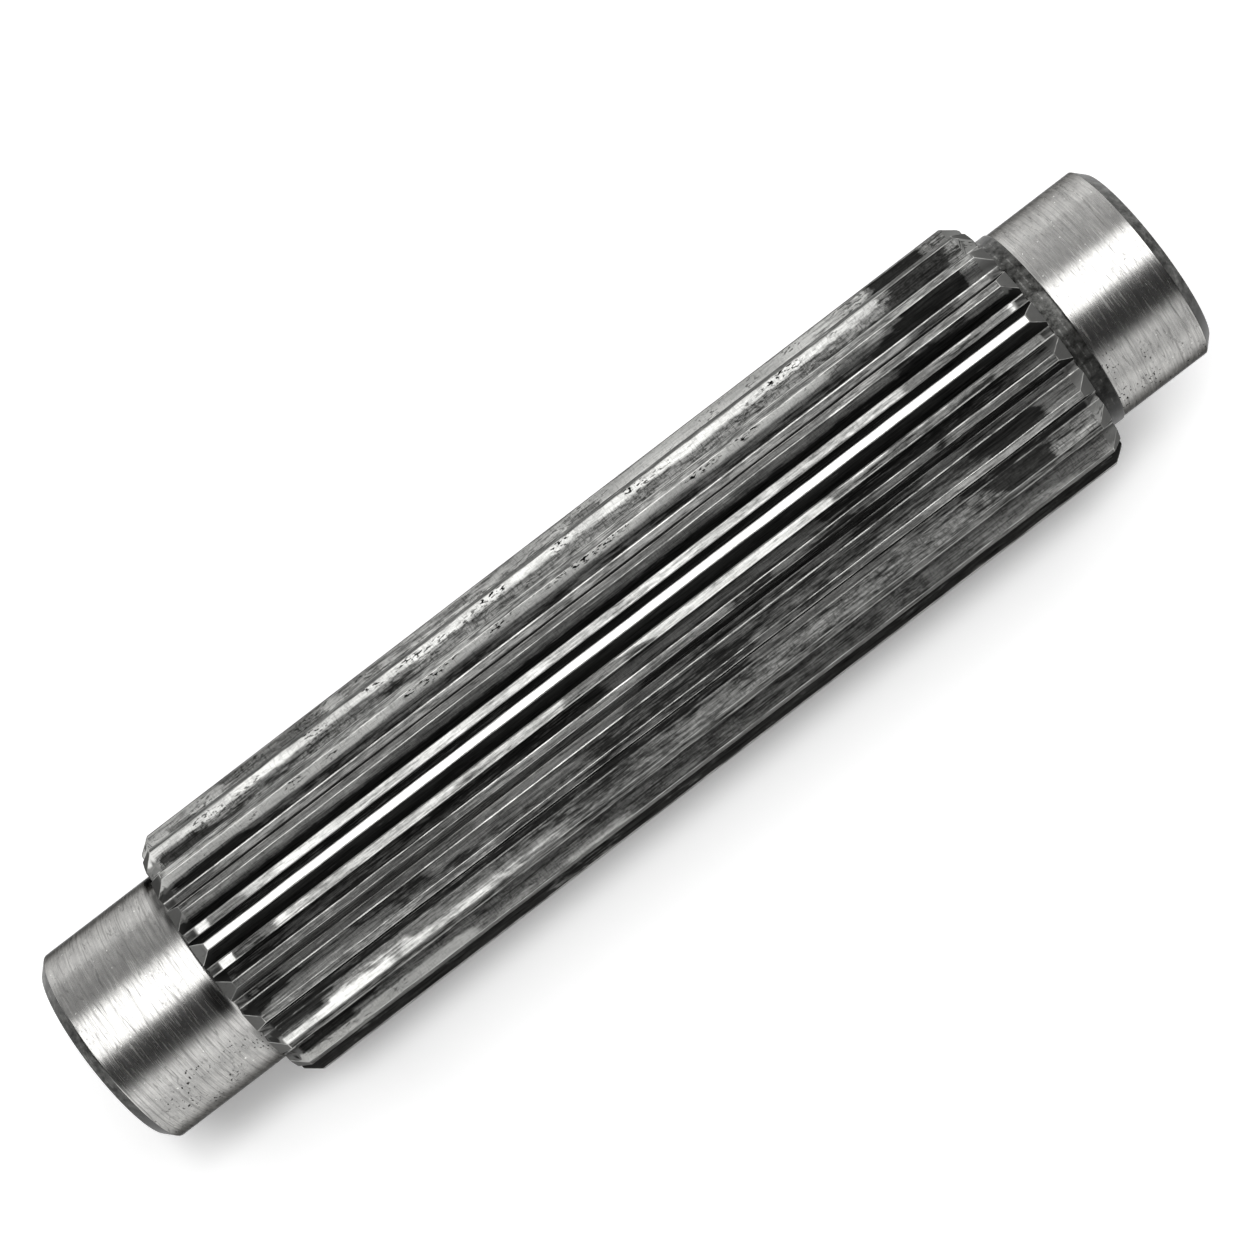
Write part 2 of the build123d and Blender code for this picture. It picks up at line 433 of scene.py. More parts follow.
# %% Build the sector
def sector_mesh(stack):
    """Joins the sections by faces and stores what the finishes need to know."""
    places = np.array([[(x, -side, out) for side, out in points] for x, points, _ in stack])
    rows = len(stack)
    gaps = np.linalg.norm(np.diff(places, axis=1), axis=2)
    from_side = np.concatenate((np.zeros((rows, 1)), np.cumsum(gaps, axis=1)), axis=1)
    pitch = from_side[:, -1]
    across = from_side - pitch[:, None] / 2
    strides = np.linalg.norm(np.diff(places, axis=0), axis=2).mean(axis=1)
    along = np.concatenate(([0], np.cumsum(strides)))
    first_middle = next(
        i for i, (x, _, finish) in enumerate(stack) if finish == FINISH_WORN and x > first_x
    )
    along += stack[first_middle][0] - along[first_middle]
    numbers = np.arange(rows * COLUMNS).reshape(rows, COLUMNS)
    corners = (numbers[:-1, :-1], numbers[1:, :-1], numbers[1:, 1:], numbers[:-1, 1:])
    faces = np.stack(corners, axis=2).reshape(-1, 4).tolist()
    left_pole, right_pole = rows * COLUMNS, rows * COLUMNS + 1
    fans = [(left_pole, int(b), int(a)) for a, b in zip(numbers[0, 1:], numbers[0, :-1])]
    fans += [(right_pole, int(b), int(a)) for a, b in zip(numbers[-1, :-1], numbers[-1, 1:])]
    points = np.concatenate((places.reshape(-1, 3), [(LEFT_END, 0, 0), (RIGHT_END, 0, 0)])) * MM
    mesh = bpy.data.meshes.new("tooth_sector")
    mesh.from_pydata(points.tolist(), [], faces + fans)
    finish = np.repeat([f for _, _, f in stack[:-1]], COLUMNS - 1).tolist()
    put(mesh, "finish", "INT", "FACE", finish + [FINISH_FACED] * len(fans))
    put(mesh, "across", "FLOAT", "POINT", [*(across.ravel() * MM), 0, 0])
    put(mesh, "pitch", "FLOAT", "POINT", [*(np.repeat(pitch, COLUMNS) * MM), 0, 0])
    ends = [along[0] - FLAT_START, along[-1] + FLAT_START]
    put(mesh, "along", "FLOAT", "POINT", [*(np.repeat(along, COLUMNS) * MM), *(e * MM for e in ends)])
    column = np.abs(np.arange(COLUMNS) - COLUMNS // 2)
    toothed = np.array([finish == FINISH_WORN for _, _, finish in stack]).astype(float)
    from_end = np.array([min(x - SPLINE_START, SPLINE_END - x) for x, _, _ in stack])
    free = toothed * np.clip((from_end - TOOTH_CHAMFER_LENGTH) / CALM_LENGTH, 0, 1)
    chamfer_corner = np.abs(from_end - TOOTH_CHAMFER_LENGTH) < CORNER_REACH
    chamfered = toothed * (from_end < TOOTH_CHAMFER_LENGTH + CHAMFER_MARGIN)
    tip_edge = (column == TIP_COLUMN - 1) | (column == TIP_COLUMN)
    profiles = {
        "column": np.outer(toothed, column),
        "tip_edge": np.maximum(
            np.outer(toothed, tip_edge), np.outer(chamfer_corner, column <= TIP_COLUMN)
        ),
        "root_edge": np.outer(toothed, column == ROOT_COLUMN),
        "wandering": np.outer(free, column <= SUPPORT_COLUMN),
        "nicked": np.outer(free, tip_edge),
        "plain_end": np.outer(chamfered, column >= 0),
    }
    for name, profile in profiles.items():
        put(mesh, name, "FLOAT", "POINT", [*profile.astype(float).ravel(), 0, 0])
    return mesh


sector = bpy.data.objects.new(NODE + "_sector", sector_mesh(stack))
bpy.context.scene.collection.objects.link(sector)
print(f"the sector has {len(sector.data.polygons)} faces")

# %% [markdown]
# ## Twenty sectors make the shaft
#
# What repeats is best made once and repeated by Geometry Nodes. This tree puts one copy of the sector at
# each tooth, joins the copies into one closed skin, lays out the unrolled map, wears the tip edges with a
# little noise, and gives every face its finish.

# %% Materials that the tree hands out
materials = {
    FINISH_FACED: bpy.data.materials.new("faced_steel"),
    FINISH_DARK: bpy.data.materials.new("dark_turned_steel"),
    FINISH_GROUND: bpy.data.materials.new("ground_steel"),
    FINISH_WORN: bpy.data.materials.new("worn_blackened_steel"),
}
print("finishes:", ", ".join(material.name for material in materials.values()))

# %% The tree's inputs
tree = bpy.data.node_groups.new("teeth_round_the_shaft", "GeometryNodeTree")
tree.is_modifier = True
tree.interface.new_socket(name="Geometry", in_out="OUTPUT", socket_type="NodeSocketGeometry")
tree.interface.new_socket(name="Sector", in_out="INPUT", socket_type="NodeSocketGeometry")
TREE_INPUTS = {
    "Tooth Count": ("NodeSocketInt", TOOTH_COUNT),
    "Edge Wander": ("NodeSocketFloat", 0.32 * MM),
    "Wander Length": ("NodeSocketFloat", 11.0 * MM),
    "Nick Depth": ("NodeSocketFloat", 0.12 * MM),
    "Nick Size": ("NodeSocketFloat", 1.6 * MM),
    "Seed": ("NodeSocketFloat", 4.0),
    "Join Distance": ("NodeSocketFloat", 0.002 * MM),
}
identifiers = {}
for name, (kind, value) in TREE_INPUTS.items():
    socket = tree.interface.new_socket(name=name, in_out="INPUT", socket_type=kind)
    socket.default_value = value
    identifiers[name] = socket.identifier
given = tree.nodes.new("NodeGroupInput").outputs
carried = {
    name: add_node(tree, "GeometryNodeInputNamedAttribute", {"Name": name}, data_type="FLOAT")
    for name in ("tooth_place", "pitch", "across", "along", "wandering", "nicked")
}
print(f"the tree has {len(identifiers)} named inputs and reads {len(carried)} attributes")

# %% One copy of the sector for each tooth
index = add_node(tree, "GeometryNodeInputIndex")
last = add_node(tree, "ShaderNodeMath", {0: given["Tooth Count"], 1: 1.0}, operation="SUBTRACT")
half = add_node(tree, "ShaderNodeMath", {0: last, 1: 0.5}, operation="MULTIPLY")
place = add_node(tree, "ShaderNodeMath", {0: index, 1: half}, operation="SUBTRACT")
step = add_node(tree, "ShaderNodeMath", {0: 2 * pi, 1: given["Tooth Count"]}, operation="DIVIDE")
angle = add_node(tree, "ShaderNodeMath", {0: place, 1: step}, operation="MULTIPLY")
rotation = add_node(tree, "ShaderNodeCombineXYZ", {"X": angle})
starts = add_node(tree, "GeometryNodePoints", {"Count": given["Tooth Count"]})
copies = add_node(
    tree, "GeometryNodeInstanceOnPoints",
    {"Points": starts, "Instance": given["Sector"], "Rotation": rotation},
)
numbered = add_node(
    tree, "GeometryNodeStoreNamedAttribute",
    {"Geometry": copies, "Name": "tooth_place", "Value": place},
    data_type="FLOAT", domain="INSTANCE",
)
real = add_node(tree, "GeometryNodeRealizeInstances", {"Geometry": numbered})
round_it = add_node(
    tree, "ShaderNodeMath", {0: carried["tooth_place"], 1: carried["pitch"], 2: carried["across"]},
    operation="MULTIPLY_ADD",
)
unrolled = add_node(tree, "ShaderNodeCombineXYZ", {"X": carried["along"], "Y": round_it})
mapped = add_node(
    tree, "GeometryNodeStoreNamedAttribute", {"Geometry": real, "Name": "unrolled", "Value": unrolled},
    data_type="FLOAT2", domain="CORNER",
)
joined = add_node(
    tree, "GeometryNodeMergeByDistance", {"Geometry": mapped, "Distance": given["Join Distance"]}
)
print(f"{TOOTH_COUNT} copies, {360 / TOOTH_COUNT:.0f} degrees apart")

# %% Wear that moves the tip lands a little
NICKS_FROM, NICKS_FULL = 0.62, 0.76   # only the noise's highest values make a nick

position = add_node(tree, "GeometryNodeInputPosition")
flat = add_node(tree, "ShaderNodeVectorMath", {0: position, 1: (0, 1, 1)}, operation="MULTIPLY")
outward = add_node(tree, "ShaderNodeVectorMath", {0: flat}, operation="NORMALIZE")
sideways = add_node(tree, "ShaderNodeVectorMath", {0: outward, 1: (1, 0, 0)}, operation="CROSS_PRODUCT")
wander_scale = add_node(tree, "ShaderNodeMath", {0: 1.0, 1: given["Wander Length"]}, operation="DIVIDE")
wander = add_node(
    tree, "ShaderNodeTexNoise",
    {"Vector": position, "W": given["Seed"], "Scale": wander_scale, "Detail": 2.0},
    noise_dimensions="4D",
)
centred = add_node(tree, "ShaderNodeMath", {0: wander, 1: 0.5}, operation="SUBTRACT")
amount = add_node(tree, "ShaderNodeMath", {0: centred, 1: given["Edge Wander"]}, operation="MULTIPLY")
on_land = add_node(tree, "ShaderNodeMath", {0: amount, 1: carried["wandering"]}, operation="MULTIPLY")
shift = add_node(tree, "ShaderNodeVectorMath", {0: sideways, "Scale": on_land}, operation="SCALE")

nick_scale = add_node(tree, "ShaderNodeMath", {0: 1.0, 1: given["Nick Size"]}, operation="DIVIDE")
nick_noise = add_node(
    tree, "ShaderNodeTexNoise",
    {"Vector": position, "W": given["Seed"], "Scale": nick_scale, "Detail": 1.0},
    noise_dimensions="4D",
)
nick = add_node(
    tree, "ShaderNodeMapRange", {"Value": nick_noise, "From Min": NICKS_FROM, "From Max": NICKS_FULL}
)
nick_depth = add_node(tree, "ShaderNodeMath", {0: nick, 1: given["Nick Depth"]}, operation="MULTIPLY")
on_edge = add_node(tree, "ShaderNodeMath", {0: nick_depth, 1: carried["nicked"]}, operation="MULTIPLY")
inward = add_node(tree, "ShaderNodeMath", {0: on_edge, 1: -1.0}, operation="MULTIPLY")
dent = add_node(tree, "ShaderNodeVectorMath", {0: outward, "Scale": inward}, operation="SCALE")
offset = add_node(tree, "ShaderNodeVectorMath", {0: shift, 1: dent}, operation="ADD")
moved = add_node(tree, "GeometryNodeSetPosition", {"Geometry": joined, "Offset": offset})
print(f"nicks up to {TREE_INPUTS['Nick Depth'][1] / MM:.2f} mm deep")

# %% Smooth shading and a finish for each face
current = add_node(tree, "GeometryNodeSetShadeSmooth", {"Geometry": moved})
finish_of = add_node(tree, "GeometryNodeInputNamedAttribute", {"Name": "finish"}, data_type="INT")
for number, material in materials.items():
    chosen = add_node(
        tree, "FunctionNodeCompare", {2: finish_of, 3: number}, data_type="INT", operation="EQUAL"
    )
    current = add_node(
        tree, "GeometryNodeSetMaterial", {"Geometry": current, "Selection": chosen, "Material": material}
    )
add_node(tree, "NodeGroupOutput", {"Geometry": current})
print(f"the tree has {len(tree.nodes)} nodes")

# %% Turn the result into a plain mesh
modifier = sector.modifiers.new("Teeth", "NODES")
modifier.node_group = tree
for name, (_, value) in TREE_INPUTS.items():
    modifier[identifiers[name]] = value
depsgraph = bpy.context.evaluated_depsgraph_get()
shaft_mesh = bpy.data.meshes.new_from_object(sector.evaluated_get(depsgraph), depsgraph=depsgraph)
sector.modifiers.clear()
bpy.data.objects.remove(sector)
shaft_mesh.name = "shaft_body"
shaft = bpy.data.objects.new("shaft_body", shaft_mesh)
bpy.context.scene.collection.objects.link(shaft)
triangles = sum(len(face.vertices) - 2 for face in shaft_mesh.polygons)
print(f"the shaft has {len(shaft_mesh.vertices)} points and {triangles} triangles")

# %% [markdown]
# ## A tidy map for baking
#
# A shaft that leaves Blender carries its finish as pictures, which need every face to have its own place
# in a unit square. The unrolled map already lays the skin out flat, so it is only scaled to fit.

# %% Lay out the baking map
BAKE_MARGIN = 0.01

flat_map = np.empty(len(shaft_mesh.loops) * 2, dtype=np.float32)
shaft_mesh.attributes["unrolled"].data.foreach_get("vector", flat_map)
flat_map = flat_map.reshape(-1, 2)
span = np.ptp(flat_map, axis=0)
bake_map = (flat_map - flat_map.min(axis=0)) / span.max() * (1 - 2 * BAKE_MARGIN) + BAKE_MARGIN
shaft_mesh.uv_layers.new(name="OFBake").data.foreach_set("uv", bake_map.ravel())
print("the unrolled skin measures, mm:", (span / MM).round(1))

# %% [markdown]
# ## Where the dark skin has worn away
#
# Heat treatment leaves a dark oxide skin. Where the mating hub has rubbed, the skin is gone and the steel
# is bright. Where oil and dust have settled it is stained in between. Wear like this follows use, not
# chance, so its large patches are laid out face by face, like strokes of a wide brush, where a
# later stroke covers an earlier one. The finish's own noise then gives every patch its ragged border.
#
# Each tooth has a flank on the lamp's side, a land on top and a flank on the far side, and a root lies
# between it and the next tooth. Teeth are counted from the top of the shaft, where root 0 lies. Negative
# numbers go down towards the lamp and positive ones down the other side.
# One mark paints shade rather than wear: the far flank of tooth -2 is painted as full dark skin next to its
# root, where tooth -1 shades it.

# %% Marks that every tooth gets first
# face, tooth or root, from mm, to mm along the shaft, from share, to share of the face, level, lean
# Level 0 is full dark skin, 0.5 is stained steel and 1 is bright bare steel. A lean, where one is given,
# is how many mm further along the shaft a mark lies at share 1 than at share 0. Down a flank, the share
# runs from the tip at 0 to the root at 1. Across a land or a root, it runs from the lamp's side at 0 to
# the far side at 1. A level beyond 0 or 1 leaves the noise less to break up.
WEAR_AND_SHADE_MARKS = [
    ("lamp", None, -90, 93, 0, 1, 0.12),
    ("land", None, -90, 93, 0, 1, 0.50),
    ("far", None, -90, 93, 0, 1, 0.12),
    ("root", None, -90, 93, 0, 1, 0.35),
]
print(f"{len(WEAR_AND_SHADE_MARKS)} marks so far")

# %% Teeth -5 and -4, the lowest towards the lamp
WEAR_AND_SHADE_MARKS += [
    # tooth -5
    ("far", -5, -90, 93, 0, 1, 0.74),
    ("far", -5, -82, -77, 0.4, 1, 0.30),
    ("far", -5, -69, -48, 0, 0.8, 0.40),
    ("far", -5, -45, -35, 0, 1, 0.58),
    ("far", -5, -35, 5, 0, 0.8, 0.68),
    ("far", -5, 5.5, 13, 0.3, 1, 0.34),
    ("far", -5, 14, 72, 0, 1, 0.92),
    ("far", -5, 58, 72, 0, 1, 0.72),
    ("far", -5, 72.5, 84, 0, 1, -0.08),
    ("far", -5, 84, 93, 0, 1, 0.50),
    # tooth -4 and the root on its far side
    ("far", -4, -90, 93, 0, 1, 0.31),
    ("far", -4, -88, 70, 0, 0.60, 0.84),
    ("far", -4, -50, -34, 0, 0.50, 0.77),
    ("far", -4, 20, 58, 0, 0.40, 0.88),
    ("far", -4, 58, 72, 0, 0.50, 0.76),
    ("far", -4, -70, -28, 0.50, 0.68, 0.20),
    ("far", -4, -22, 14, 0.46, 1, 0.33),
    ("far", -4, 14, 58, 0.46, 1, 0.36),
    ("far", -4, -86.0, -78.0, 0.42, 1, -0.20, 6),
    ("far", -4, -82, -75, 0.60, 1, -0.12, 4),
    ("far", -4, -79, -68, 0.80, 1, 0.02),
    ("far", -4, 58, 73, 0.7, 1, 0.12),
    ("far", -4, 74.3, 85.0, 0, 1, -0.08, -4),
    ("far", -4, 76, 85.5, 0.2, 0.9, -0.12),
    ("root", -3, -90, 93, 0, 1, 0.38),
    ("root", -3, 73.3, 85.3, 0, 1, 0.04),
]
print(f"{len(WEAR_AND_SHADE_MARKS)} marks so far")

# %% Teeth -3 and -2
WEAR_AND_SHADE_MARKS += [
    # tooth -3 and the root on its far side
    ("land", -3, -90, 93, 0, 1, 0.62),
    ("land", -3, -85, -80, 0, 1, 0.80),
    ("far", -3, -90, 93, 0, 1, 0.23),
    ("far", -3, -88, -45, 0, 0.46, 1.1),
    ("far", -3, -45, 58, 0, 0.42, 0.86),
    ("far", -3, 58, 72, 0, 0.36, 0.64),
    ("far", -3, -86, -76, 0.40, 1, -0.10, 8),
    ("far", -3, -82, -70, 0.56, 1, -0.25, 5),
    ("far", -3, -72, -60, 0.80, 1, 0.04),
    ("far", -3, 69.5, 85.5, 0, 1, -0.08, -9),
    ("far", -3, 76, 86, 0, 1, -0.12),
    ("far", -3, 85.5, 92, 0, 1, 0.55),
    ("root", -2, -90, 93, 0, 1, 0.69),
    ("root", -2, -86, -78, 0, 1, 0.38),
    ("root", -2, 72, 82, 0, 1, 0.22),
    # tooth -2 and the root on its far side
    ("land", -2, -90, 93, 0, 1, 0.45),
    ("land", -2, -86, -79, 0, 1, 0.32),
    ("land", -2, 52, 89, 0, 1, 0.58),
    ("far", -2, -90, 93, 0, 0.44, 0.55),
    ("far", -2, -88, -48, 0, 0.44, 0.66),
    ("far", -2, 66, 82, 0, 0.44, 0.20),
    # painted shade: the root half of this flank is painted full dark skin, where tooth -1 shades it
    ("far", -2, -90, 93, 0.44, 1, 0.0),
    ("root", -1, -90, 93, 0, 1, 0.71),
    ("root", -1, -71, -12, 0, 1, 0.75, 6),
    ("root", -1, -83.7, -76.2, 0, 1, 0.38),
    ("root", -1, -86.3, -83.7, 0, 1, 0.86),
    ("root", -1, 38, 56, 0, 1, 0.65),
    ("root", -1, 66, 88, 0, 1, 0.44),
    ("root", -1, 73, 82, 0.3, 1, 0.22),
    ("root", -1, 74, 82, 0, 0.3, 0.62),
]
print(f"{len(WEAR_AND_SHADE_MARKS)} marks so far")

# %% Teeth -1 and 0, either side of the top
WEAR_AND_SHADE_MARKS += [
    # tooth -1 and the root on its far side
    ("lamp", -1, -90, 93, 0, 1, 0.0),
    ("lamp", -1, -80, -20, 0, 1, 0.14),
    ("land", -1, -90, 93, 0, 1, 1.2),
    ("land", -1, 19, 31, 0, 1, 0.84),
    ("land", -1, 66, 90, 0, 1, 0.90),
    ("far", -1, -90, 93, 0, 1, 0.0),
    ("root", 0, -90, 93, 0, 1, 0.50),
    ("root", 0, -83.6, -75.4, 0, 1, 0.24),
    ("root", 0, -86.3, -83.6, 0, 1, 1.2),
    ("root", 0, -75.4, -65.2, 0.1, 1, 0.76),
    ("root", 0, -65.2, -47, 0, 1, 0.71),
    ("root", 0, -47, -35, 0, 1, 0.71),
    ("root", 0, -35, -13, 0, 1, 0.69),
    ("root", 0, -13, 6, 0, 1, 0.34),
    ("root", 0, -2, 3, 0, 0.3, 0.90),
    ("root", 0, 4.2, 45.4, 0, 1, 0.78, 4),
    ("root", 0, 45.4, 56.5, 0, 0.35, 0.74),
    ("root", 0, 45.4, 80, 0.35, 1, 0.24),
    ("root", 0, 61, 69.5, 0, 0.3, 0.72),
    ("root", 0, 80, 89.6, 0, 1, 0.50),
    # tooth 0 and the root on its far side
    ("lamp", 0, -90, 93, 0, 1, 0.14),
    ("lamp", 0, -80, -42, 0.2, 0.9, 0.26),
    ("lamp", 0, -6, 40, 0.1, 0.9, 0.38),
    ("lamp", 0, 82, 93, 0, 1, 0.36),
    ("land", 0, -90, 93, 0, 1, 0.52),
    ("land", 0, -58, -40, 0, 1, 0.38),
    ("land", 0, -34, 19, 0, 1, 0.66),
    ("land", 0, 19.5, 29.3, 0.1, 1, 0.10),
    ("land", 0, 30, 66, 0, 1, 0.38),
    ("land", 0, 37, 45.8, 0.2, 1, 0.14),
    ("land", 0, 63.9, 65.4, 0, 1, 0.10),
    ("far", 0, -90, 93, 0, 1, 0.32),
    ("far", 0, 0, 93, 0, 1, 0.14),
    ("root", 1, -90, 93, 0, 1, 0.16),
    ("root", 1, -84.9, -84.2, 0.3, 0.6, 0.95),
    ("root", 1, -77.8, -38, 0, 1, 0.50),
    ("root", 1, -38, -6, 0, 1, 0.72),
    ("root", 1, -6, 1, 0, 1, 0.46),
    ("root", 1, 1, 93, 0, 1, 0.30),
    ("root", 1, 44, 60, 0, 1, 0.18),
    ("root", 1, 62, 64.4, 0.15, 0.4, 0.95),
]
print(f"{len(WEAR_AND_SHADE_MARKS)} marks so far")

# %% Teeth 1 and 2
WEAR_AND_SHADE_MARKS += [
    # tooth 1 and the root on its far side
    ("lamp", 1, -90, 93, 0, 1, 0.24),
    ("lamp", 1, -84.5, -64, 0, 0.40, 0.52),
    ("lamp", 1, -82.0, -55, 0, 0.62, 0.48, 8),
    ("lamp", 1, -89, -81, 0.3, 1, -0.15, 10),
    ("lamp", 1, -79, -66, 0.6, 1, 0.34, 10),
    ("lamp", 1, -66, -49, 0.45, 1, 0.17),
    ("lamp", 1, -55, -24, 0, 0.4, 0.23),
    ("lamp", 1, -24, -14.6, 0, 0.4, 0.24),
    ("lamp", 1, -49, -16, 0.40, 0.85, 0.64),
    ("lamp", 1, -14.6, 18, 0, 0.4, 0.15),
    ("lamp", 1, 69.0, 80.5, 0, 1, 0.0, -3),
    ("lamp", 1, 71.0, 82.5, 0.3, 0.8, -0.16),
    ("lamp", 1, 82, 92, 0, 1, 0.38),
    ("land", 1, -90, 93, 0, 1, 0.60),
    ("land", 1, -36, 21, 0, 1, 0.24),
    ("land", 1, 21, 29, 0, 1, 0.42),
    ("land", 1, 24, 25.6, 0, 1, 0.08),
    ("land", 1, 29, 41, 0, 1, 0.26),
    ("land", 1, 41, 54, 0, 1, 0.44),
    ("land", 1, 56, 84, 0, 1, 0.70),
    ("far", 1, -90, 93, 0, 1, 0.05),
    ("root", 2, -90, 93, 0, 1, 0.13),
    ("root", 2, -88, -80, 0, 1, 0.04),
    ("root", 2, 17.5, 52, 0, 1, 0.52),
    ("root", 2, 52, 62, 0, 1, 0.30),
    # tooth 2 and the root on its far side
    ("lamp", 2, -90, 93, 0, 1, 0.22),
    ("lamp", 2, -86.5, -62, 0, 0.54, 0.77),
    ("lamp", 2, -79.4, -67, 0, 0.54, 0.82),
    ("lamp", 2, -62, -34, 0, 0.50, 0.68),
    ("lamp", 2, -34, -25, 0, 0.50, 0.60),
    ("lamp", 2, -80, -50, 0.44, 0.80, 0.64),
    ("lamp", 2, -80, -58, 0.75, 1, 0.45),
    ("lamp", 2, -58, -40, 0.50, 1, 0.40),
    ("lamp", 2, -89, -78, 0.46, 1, -0.10, 9),
    ("lamp", 2, -84.5, -79.4, 0.38, 0.7, -0.05, -3),
    ("lamp", 2, -25, 67, 0, 0.45, 0.27),
    ("lamp", 2, 0, 66, 0.45, 1, 0.26),
    ("lamp", 2, 15, 60, 0.35, 0.75, 0.34),
    ("lamp", 2, 68.5, 79.5, 0, 1, -0.04, -4),
    ("lamp", 2, 71, 75.5, 0.35, 0.52, 0.90, 2),
    ("lamp", 2, 80, 92, 0, 0.5, 0.52),
    ("lamp", 2, 80, 92, 0.5, 1, 0.30),
    ("land", 2, -90, 93, 0, 1, 0.30),
    ("far", 2, -90, 93, 0, 1, 0.05),
    ("root", 3, -90, 93, 0, 1, 0.04),
]
print(f"{len(WEAR_AND_SHADE_MARKS)} marks so far")

# %% Teeth 3 and 4, the lowest on the far side
WEAR_AND_SHADE_MARKS += [
    # tooth 3 and the root on its far side
    ("lamp", 3, -90, 93, 0, 1, 0.44),
    ("lamp", 3, -46, 50, 0, 1, 0.28),
    ("lamp", 3, -90, 93, 0.75, 1, 0.28),
    ("lamp", 3, -87, -76, 0.40, 1, -0.15, 12),
    ("lamp", 3, -82, -69, 0.70, 1, -0.10),
    ("lamp", 3, -87, -50, 0, 0.42, 1.1),
    ("lamp", 3, -50, -14, 0, 0.36, 0.66),
    ("lamp", 3, -28, -16, 0, 0.25, 0.84),
    ("lamp", 3, 62, 90, 0, 0.30, 0.70),
    ("land", 3, -90, 93, 0, 1, 0.45),
    ("far", 3, -90, 93, 0, 1, 0.08),
    ("root", 4, -90, 93, 0, 1, 0.02),
    # tooth 4
    ("lamp", 4, -90, 93, 0, 1, 0.06),
    ("lamp", 4, -35, -20, 0, 1, 0.14),
]
print(f"{len(WEAR_AND_SHADE_MARKS)} marks so far")

# %% The chamfered ends of the lands, and the ramps
WEAR_AND_SHADE_MARKS += [
    ("land", None, -90, -86.2, 0, 1, 0.48),
    ("land", -1, -90, -86.2, 0, 1, 0.66),
    ("land", -4, -90, -86.2, 0, 1, 0.32),
    ("land", -3, -90, -86.2, 0, 1, 0.26),
    ("land", None, 89.2, 93, 0, 1, 0.44),
    ("land", -4, 89.2, 93, 0, 1, 0.30),
    ("land", -3, 89.2, 93, 0, 1, 0.34),
    ("land", -1, 89.2, 93, 0, 1, 0.56),
    ("root", None, -90, -86.3, 0, 1, 0.34),
    ("root", None, 89.3, 93, 0, 1, 0.40),
]
print(f"{len(WEAR_AND_SHADE_MARKS)} marks in all")

# %% Scuffs and rows of pits
# The same columns. A scuff of 1 is matt and a pit level of 1 is full of pits.
SCUFF_MARKS = [
    ("far", -4, -90, 72, 0, 0.50, 0.65),
    ("lamp", 2, -88, -25, 0, 0.60, 0.3),
    ("root", -1, -76, 70, 0, 1, 0.25),
    ("root", 0, -66, -13, 0, 1, 0.25),
    ("root", 0, 4, 46, 0, 1, 0.25),
    ("far", -3, -90, 66, 0, 0.50, 1.0),
    ("far", -3, -90, -42, 0, 0.50, 1.1),
    ("far", -2, -90, 66, 0, 0.40, 0.4),
    ("far", -2, -90, -58, 0, 0.40, 0.8),
    ("lamp", 0, -8, 36, 0.1, 0.9, 0.5),
    ("lamp", 1, -30, 93, 0, 1, 0.16),
    ("lamp", 2, -22, 93, 0, 1, 0.12),
    ("lamp", 3, -90, 93, 0, 1, 0.22),
    ("far", 0, -90, 93, 0, 1, 0.16),
    ("lamp", 3, -87, -14, 0, 0.40, 0.9),
    ("lamp", 3, -85, -66, 0, 0.40, 1.5),
    ("lamp", 3, -14, 90, 0, 0.30, 0.3),
    ("land", None, -90, -86.2, 0, 1, 0.6),
    ("land", None, 89.2, 93, 0, 1, 0.8),
]
PIT_MARKS = [
    ("far", -5, -90, 93, 0, 1, 0.55),
    ("far", -4, -90, 93, 0, 1, 0.50),
    ("far", -4, -60, 62, 0.04, 0.22, 1.4),
    ("far", -3, -90, 93, 0, 0.5, 0.35),
    ("far", -3, -60, 62, 0.0, 0.12, 1.4),
    ("lamp", 3, -90, 93, 0, 1, 0.30),
    ("lamp", 2, 10, 93, 0, 1, 0.30),
    ("round", None, -120, 120, 0.62, 0.97, 1.0),
]
print(f"{len(SCUFF_MARKS)} scuffs and {len(PIT_MARKS)} rows of pits")

# %% Painted shade on the round parts
# The same columns again, where 1 is black. Round a journal, the share runs from the lamp's side at 0 over
# the top at 0.5 to the far side at 1. These marks are painted shade: the journals are darker near their
# two sides as seen from above, and most of it sits against the left shoulder, where it is also a painted
# reflection of the teeth's dark ends.
PAINTED_SHADE_MARKS = [
    ("round", None, -120, 120, 0.86, 0.96, 0.28),
    ("round", None, -120, -88, 0.04, 0.10, 0.30),
    ("round", None, -91.4, -88, 0.03, 0.17, 0.85),
    ("round", None, -90.9, -88, 0.17, 0.27, 0.80),
    ("round", None, -90.3, -88, 0.27, 0.34, 0.75),
    ("round", None, -92.1, -89.7, 0.51, 0.62, 0.75),
    ("round", None, -90.2, -88, 0.70, 0.96, 0.50),
    ("round", None, -88.8, -88, 0.0, 1.0, 0.75),
]
print(f"{len(PAINTED_SHADE_MARKS)} marks of dirt")

# %% Where each point lies on its own face
PITCH_DEGREES = 360 / TOOTH_COUNT
ROOT_DEGREES = 4.2             # the width of a root
FRONT_DEGREES = 90.5           # the front reaches this far down from the top on either side
ROUND_MARGIN = 1.5             # the round parts reach this far past the collar, over the fillets

count = len(shaft_mesh.vertices)
points = np.empty(count * 3)
shaft_mesh.vertices.foreach_get("co", points)
x, y, z = points.reshape(-1, 3).T / MM
columns = np.empty(count)
shaft_mesh.attributes["column"].data.foreach_get("value", columns)

# The marks are laid out for the front. The back of the shaft wears like the front does, end for end.
turn = np.degrees(np.arctan2(-y, z))
at_back = np.abs(turn) > FRONT_DEGREES
turn = np.where(at_back, turn - 180 * np.sign(turn), turn)
x = np.where(at_back, SPLINE_START + SPLINE_END - x, x)

